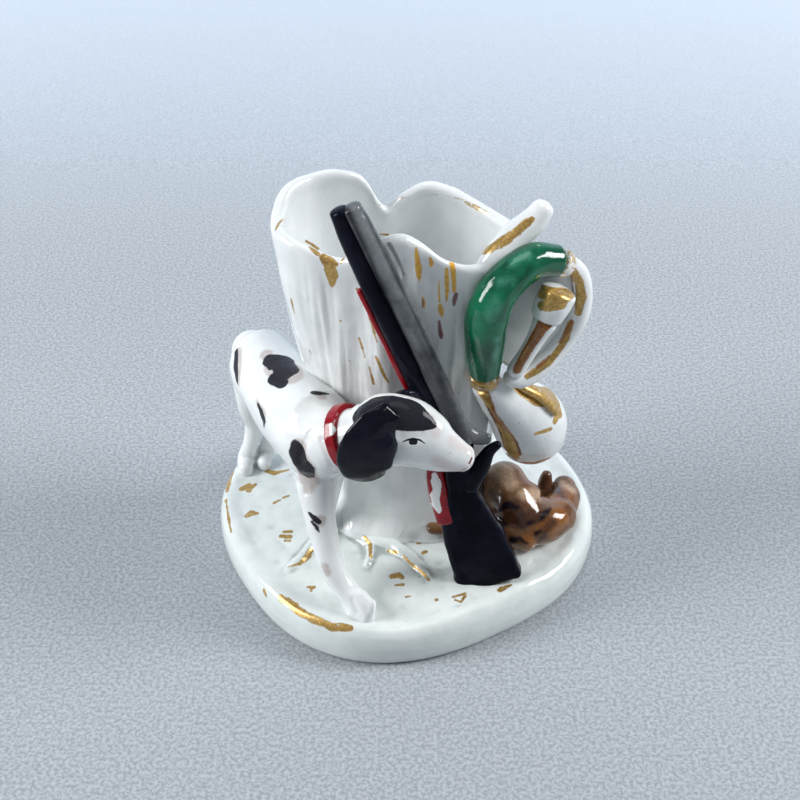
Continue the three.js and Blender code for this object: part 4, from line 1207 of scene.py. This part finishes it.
def makeHorn():
    bell = glazedMaterial("bellGlaze", "white", [
        ("hornDark", "rust", 1, 0.3, 0, 1), ("hornEdge", "brown", 0.6, 0.2, 0, 0.96),
        ("hornGold", "gold", 0.9, 0.2, 0.15, 1), ("hornOrange", "orange", 0.25, 0.14, 0, 0.9),
        ("hornSpeck", "black", 0.1, 0.05, 0, 0.9),
    ], poolAndShade=0.6)
    hornPart("hornBellWhite", "bell", bell, "white_glaze", "horn_bell", bellMarks)
    tube = glazedMaterial("tubeGlaze", "white", [
        ("tubeGold", "gold", 0.9, 0.2, 0.2, 1), ("tubeDark", "rust", 0.7, 0.25, 0, 0.9),
    ], poolAndShade=0.6)
    hornPart("hornTubeWhite", "tube", tube, "white_glaze", "horn_tube", tubeMarks)
    green = glazedMaterial("sleeveEnamel", "green", [
        ("sleeveDeep", "deepGreen", 2.5, 1.2, 0, 0.75), ("sleevePale", "paleGreen", 2.5, 1.2, 0, 0.55),
    ], poolAndShade=0)
    hornPart("hornSleeveGreen", "sleeve", green, "green_enamel", "horn_sleeve", sleeveMarks)
    for name, key, node in (
        ("hornBindingGilt", "binding", "horn_binding"),
        ("hornFerruleLow", "ferruleLower", "horn_ferrule_lower"),
        ("hornFerruleHigh", "ferruleUpper", "horn_ferrule_upper"),
    ):
        gilt = giltMaterial(name + "Worn", "white", hornShape["wear"][key])
        hornPart(name, key, gilt, "gilding", node)
    pipe = glazedMaterial("pipeGlaze", "white", [
        ("pipeBrown", "rust", 0.6, 0.25, 0, 1), ("pipeLight", "gold", 0.2, 0.2, 0, 0.8),
    ], poolAndShade=0.5)
    hornPart("hornMouthpipe", "mouthpipe", pipe, "white_glaze", "horn_mouthpipe", pipeMarks)
    cup = glazedMaterial("mouthpieceGlaze", "white", [
        ("cupFace", "gold", 0.7, 0.2, 0.1, 1), ("cupLine", "ochre", 0.2, 0.1, 0, 0.6),
    ], poolAndShade=0.5)
    hornPart("hornMouthpiece", "mouthpiece", cup, "gilding", "horn_mouthpiece", cupMarks)
    strap = glazedMaterial("strapEnamel", "orange", poolAndShade=0)
    hornPart("hornStrapRed", "strap", strap, "red_enamel", "horn_strap")


# Hare: lies on its back against the stump

hareSpot = (30, -11.96, 12.276)
hareShape = {
    "body": [
        [-4.4, 4.6, 10.4, 5.8], [-3, 1.6, 8.4, 7.2, 7], [1.4, -1.8, 5, 7.6, 6.6], [5.4, -1.6, 4.2, 5.6, 5],
    ],
    "hindleg": [
        [6, -2, 4.2, 4.8, 4.4], [9.8, 2.4, 3.8, 4.6, 4], [11.8, 7, 3.6, 4, 3.6], [12, 10.4, 4, 3.2, 3],
    ],
    "tail": [[5.6, 8, 1.5, 1.7], [6.6, 10.4, 5.4, 1.9], [7, 11, 7.6, 1.5]],
    "head": [[-5.4, -3.6, 4.4, 4.4, 4], [-2.4, -6.4, 3.8, 4.4, 4], [0.4, -7.8, 2.9, 3.6, 3.2]],
    "earLeft": [[-7.6, -3.4, 3, 1.6, 1.3], [-15.6, -5, 3.6, 2, 1.5], [-23.6, -6.2, 4.8, 1.9, 1.4]],
    "earRight": [[-6.4, -1, 5, 1.4, 1.2], [-11, -2.8, 5.8, 1.8, 1.3], [-15.6, -4.2, 6.2, 1.4, 1.1]],
    "foreleg": [
        [0.6, -6.6, 2.8, 2.8, 2.5], [4.4, -5.9, 2.6, 2.7, 2.4], [8, -4, 2.6, 2.5, 2.3],
        [10.6, -1, 3, 2.5, 2.3],
    ],
    "belly": [[1, -5, 4.2, 5], [5.5, -4.2, 4.8, 5.2], [9.4, -1.2, 4.4, 4.6]],
    "voxel": 0.38, "smoothing": 14, "fillet": (2.4, 0.6), "lumps": (4, 0.22, 5.5),
}
hareMarks = {
    "hareRust": [[[560, 500, 10], [566, 492, 8]], [[545, 530, 12], [530, 542, 9]], [[560, 515, 9]]],
    "harePale": [
        [[493, 464, 9], [503, 471, 10], [511, 482, 8]], [[524, 494, 6], [548, 494, 4]],
        [[562, 484, 5], [572, 490, 4]],
    ],
    "hareDark": [
        [[556, 488, 4], [566, 500, 3]], [[552, 524, 5], [540, 541, 4]], [[486, 470, 3], [484, 480, 4]],
        [[490, 492, 4], [500, 502, 6], [516, 508, 7]], [[500, 515, 10], [520, 520, 10], [536, 518, 6]],
        [[543, 486, 4], [545, 478, 4]],
    ],
    "hareBlack": [
        [[500, 510, 3], [508, 504, 4], [517, 508, 3]], [[541, 518, 2.5], [546, 512, 3.4], [550, 509, 1.5]],
        [[512, 540, 3], [520, 539, 2.6], [526, 543, 1.6]], [[536, 534, 1.8], [541, 531, 1.4]],
        [[528, 524, 2], [534, 521, 2.4]], [[504, 525, 3], [500, 518, 2]],
        [[9.1, -16.6, 16, 1.6], [12, -16.2, 16, 1.8], [14, -15.6, 15.6, 1.2]],
    ],
}


def makeHare(ground):
    bm = bmesh.new()
    for key in ("body", "hindleg", "tail", "head", "earLeft", "earRight", "foreleg", "belly"):
        addLoft(bm, hareShape[key], up, hareSpot)
    piece = fusePiece("hareBrown", bm, hareShape["voxel"], hareShape["smoothing"])
    dropCrumbs(piece)
    flareOnto(piece, ground, *hareShape["fillet"])
    waves(piece, *hareShape["lumps"])
    paintAll(piece, hareMarks)
    # its hollows take a near-black brown: the glaze's tint and painted shade in the creases
    material = glazedMaterial("hareGlaze", "fur", [
        ("hareRust", "rust", 2.2, 1.4, 0, 0.7), ("harePale", "tan", 1.6, 1.1, 0, 1),
        ("hareDark", "brown", 2.8, 1.3, 0, 0.92), ("hareBlack", "black", 1.6, 0.5, 0, 0.9),
    ], poolAndShade=0.5, tint=(0.05, 0.022, 0.012))
    finishPiece(
        piece, material, "brown_enamel", "hare_body", "hare_hindleg", "hare_tail", "hare_head",
        "hare_ear_left", "hare_ear_right", "hare_foreleg",
    )


groundTree = makePlinth()
makeVase(groundTree)
makeDog(groundTree)
makeEars()
makeCollar()
makeGun(groundTree)
makeHorn()
makeHare(groundTree)
print("stage: pieces made")


# The pale floor that bends up behind, soft lamps and the camera

stageValues = {
    # metres: the floor runs from its front to the bend, up a quarter round and on to the top
    "front": -1.6, "bendFrom": 0.2, "bend": 0.45, "bendSteps": 16, "top": 2, "halfWidth": 2,
    "floor": (0.46, 0.495, 0.525), "floorSecond": (0.29, 0.318, 0.345), "backdrop": (0.60, 0.68, 0.79),
    "grain": (1100, 5, 0.75), "grainSpan": (0.4, 0.6), "backdropFrom": (0.1, 0.42),
    "dull": ((60, 3, 0.5), (0.3, 0.7, 0.75, 0.9)),
    "relief": 0.0003, "smoothFrom": (0.02, 0.3), "farRelief": 0.15,
    "worldColour": (0.86, 0.92, 1.0), "worldStrength": 0.22,
    "lamps": [
        # place, aim, size, power, colour
        ((-0.85, -0.15, 0.5), (0, 0, 0.05), (0.45, 0.6), 10, (0.98, 0.99, 1)),
        ((0.8, 0.0, 0.55), (0, 0, 0.05), (0.35, 0.45), 8.5, (0.98, 0.99, 1)),
        ((0, 0.1, 1.0), (0, 0, 0.05), (0.5, 0.5), 1.1, (1, 0.99, 0.97)),
    ],
}


def makeFloor():
    bm = bmesh.new()
    start, bend, count, half = (stageValues[key] for key in ("bendFrom", "bend", "bendSteps", "halfWidth"))
    steps = [(stageValues["front"], 0), (start, 0)]
    for k in range(1, count + 1):
        angle = math.pi / 2 * k / count
        steps.append((start + bend * math.sin(angle), bend * (1 - math.cos(angle))))
    steps.append((start + bend, stageValues["top"]))
    row = [bm.verts.new((-half, y, z)) for y, z in steps]
    edges = [bm.edges.new(pair) for pair in zip(row, row[1:])]
    grown = bmesh.ops.extrude_edge_only(bm, edges=edges)["geom"]
    shifted = [part for part in grown if isinstance(part, bmesh.types.BMVert)]
    bmesh.ops.translate(bm, vec=(2 * half, 0, 0), verts=shifted)
    bmesh.ops.recalc_face_normals(bm, faces=bm.faces)
    if bm.faces[:][0].normal.z < 0:
        bmesh.ops.reverse_faces(bm, faces=bm.faces)
    floor = addObject("paleFloor", bpy.data.meshes.new("paleFloor"))
    putBack(floor, bm)
    floor.data.shade_smooth()
    material, tree, shader = newMaterial("paleFloorPaper")
    grain = addPattern(tree, stageValues["grain"], stageValues["grainSpan"])
    near = mixColours(tree, grain, stageValues["floor"], stageValues["floorSecond"])
    away = addNode(tree, "SeparateXYZ", {0: objectPlace(tree)}).outputs["Y"]
    far = addRange(tree, away, *stageValues["backdropFrom"])
    fade = mixNumbers(tree, addRange(tree, away, *stageValues["smoothFrom"]), 1, stageValues["farRelief"])
    height = addNoise(tree, *stageValues["grain"])
    bump = addNode(tree, "Bump", {"Distance": stageValues["relief"], "Strength": fade, "Height": height})
    fillNode(tree, shader, {
        "Base Color": mixColours(tree, far, near, stageValues["backdrop"]),
        "Roughness": addPattern(tree, *stageValues["dull"]), "Normal": bump.outputs["Normal"],
    })
    floor.data.materials.append(material)


def aimFrom(place, aim):
    return (Vector(aim) - Vector(place)).to_track_quat("-Z", "Y").to_euler()


def makeLight():
    world = bpy.data.worlds.new("paleRoom")
    bpy.context.scene.world = world
    world.use_nodes = True
    background = world.node_tree.nodes["Background"]
    background.inputs["Color"].default_value = (*stageValues["worldColour"], 1)
    background.inputs["Strength"].default_value = stageValues["worldStrength"]
    for number, (place, aim, size, power, colour) in enumerate(stageValues["lamps"]):
        lamp = bpy.data.lights.new(f"softWindow{number}", "AREA")
        lamp.shape, lamp.size, lamp.size_y = "RECTANGLE", *size
        lamp.energy, lamp.color = power, colour
        holder = addObject(lamp.name, lamp)
        holder.location, holder.rotation_euler = place, aimFrom(place, aim)


def makeCamera():
    camera = bpy.data.cameras.new("photoView")
    camera.sensor_width, camera.lens = viewValues["sensor"], viewValues["lens"]
    camera.shift_x, camera.shift_y = viewValues["shift"]
    camera.clip_start = viewValues["clip"] * metresPerMm
    holder = addObject("photoView", camera)
    holder.location = viewPlace * metresPerMm
    holder.rotation_euler = aimFrom(holder.location, Vector(viewValues["aim"]) * metresPerMm)
    bpy.context.scene.camera = holder


makeFloor()
makeLight()
makeCamera()
bpy.context.scene.view_settings.view_transform = "Standard"
print("stage: floor, light and camera ready")
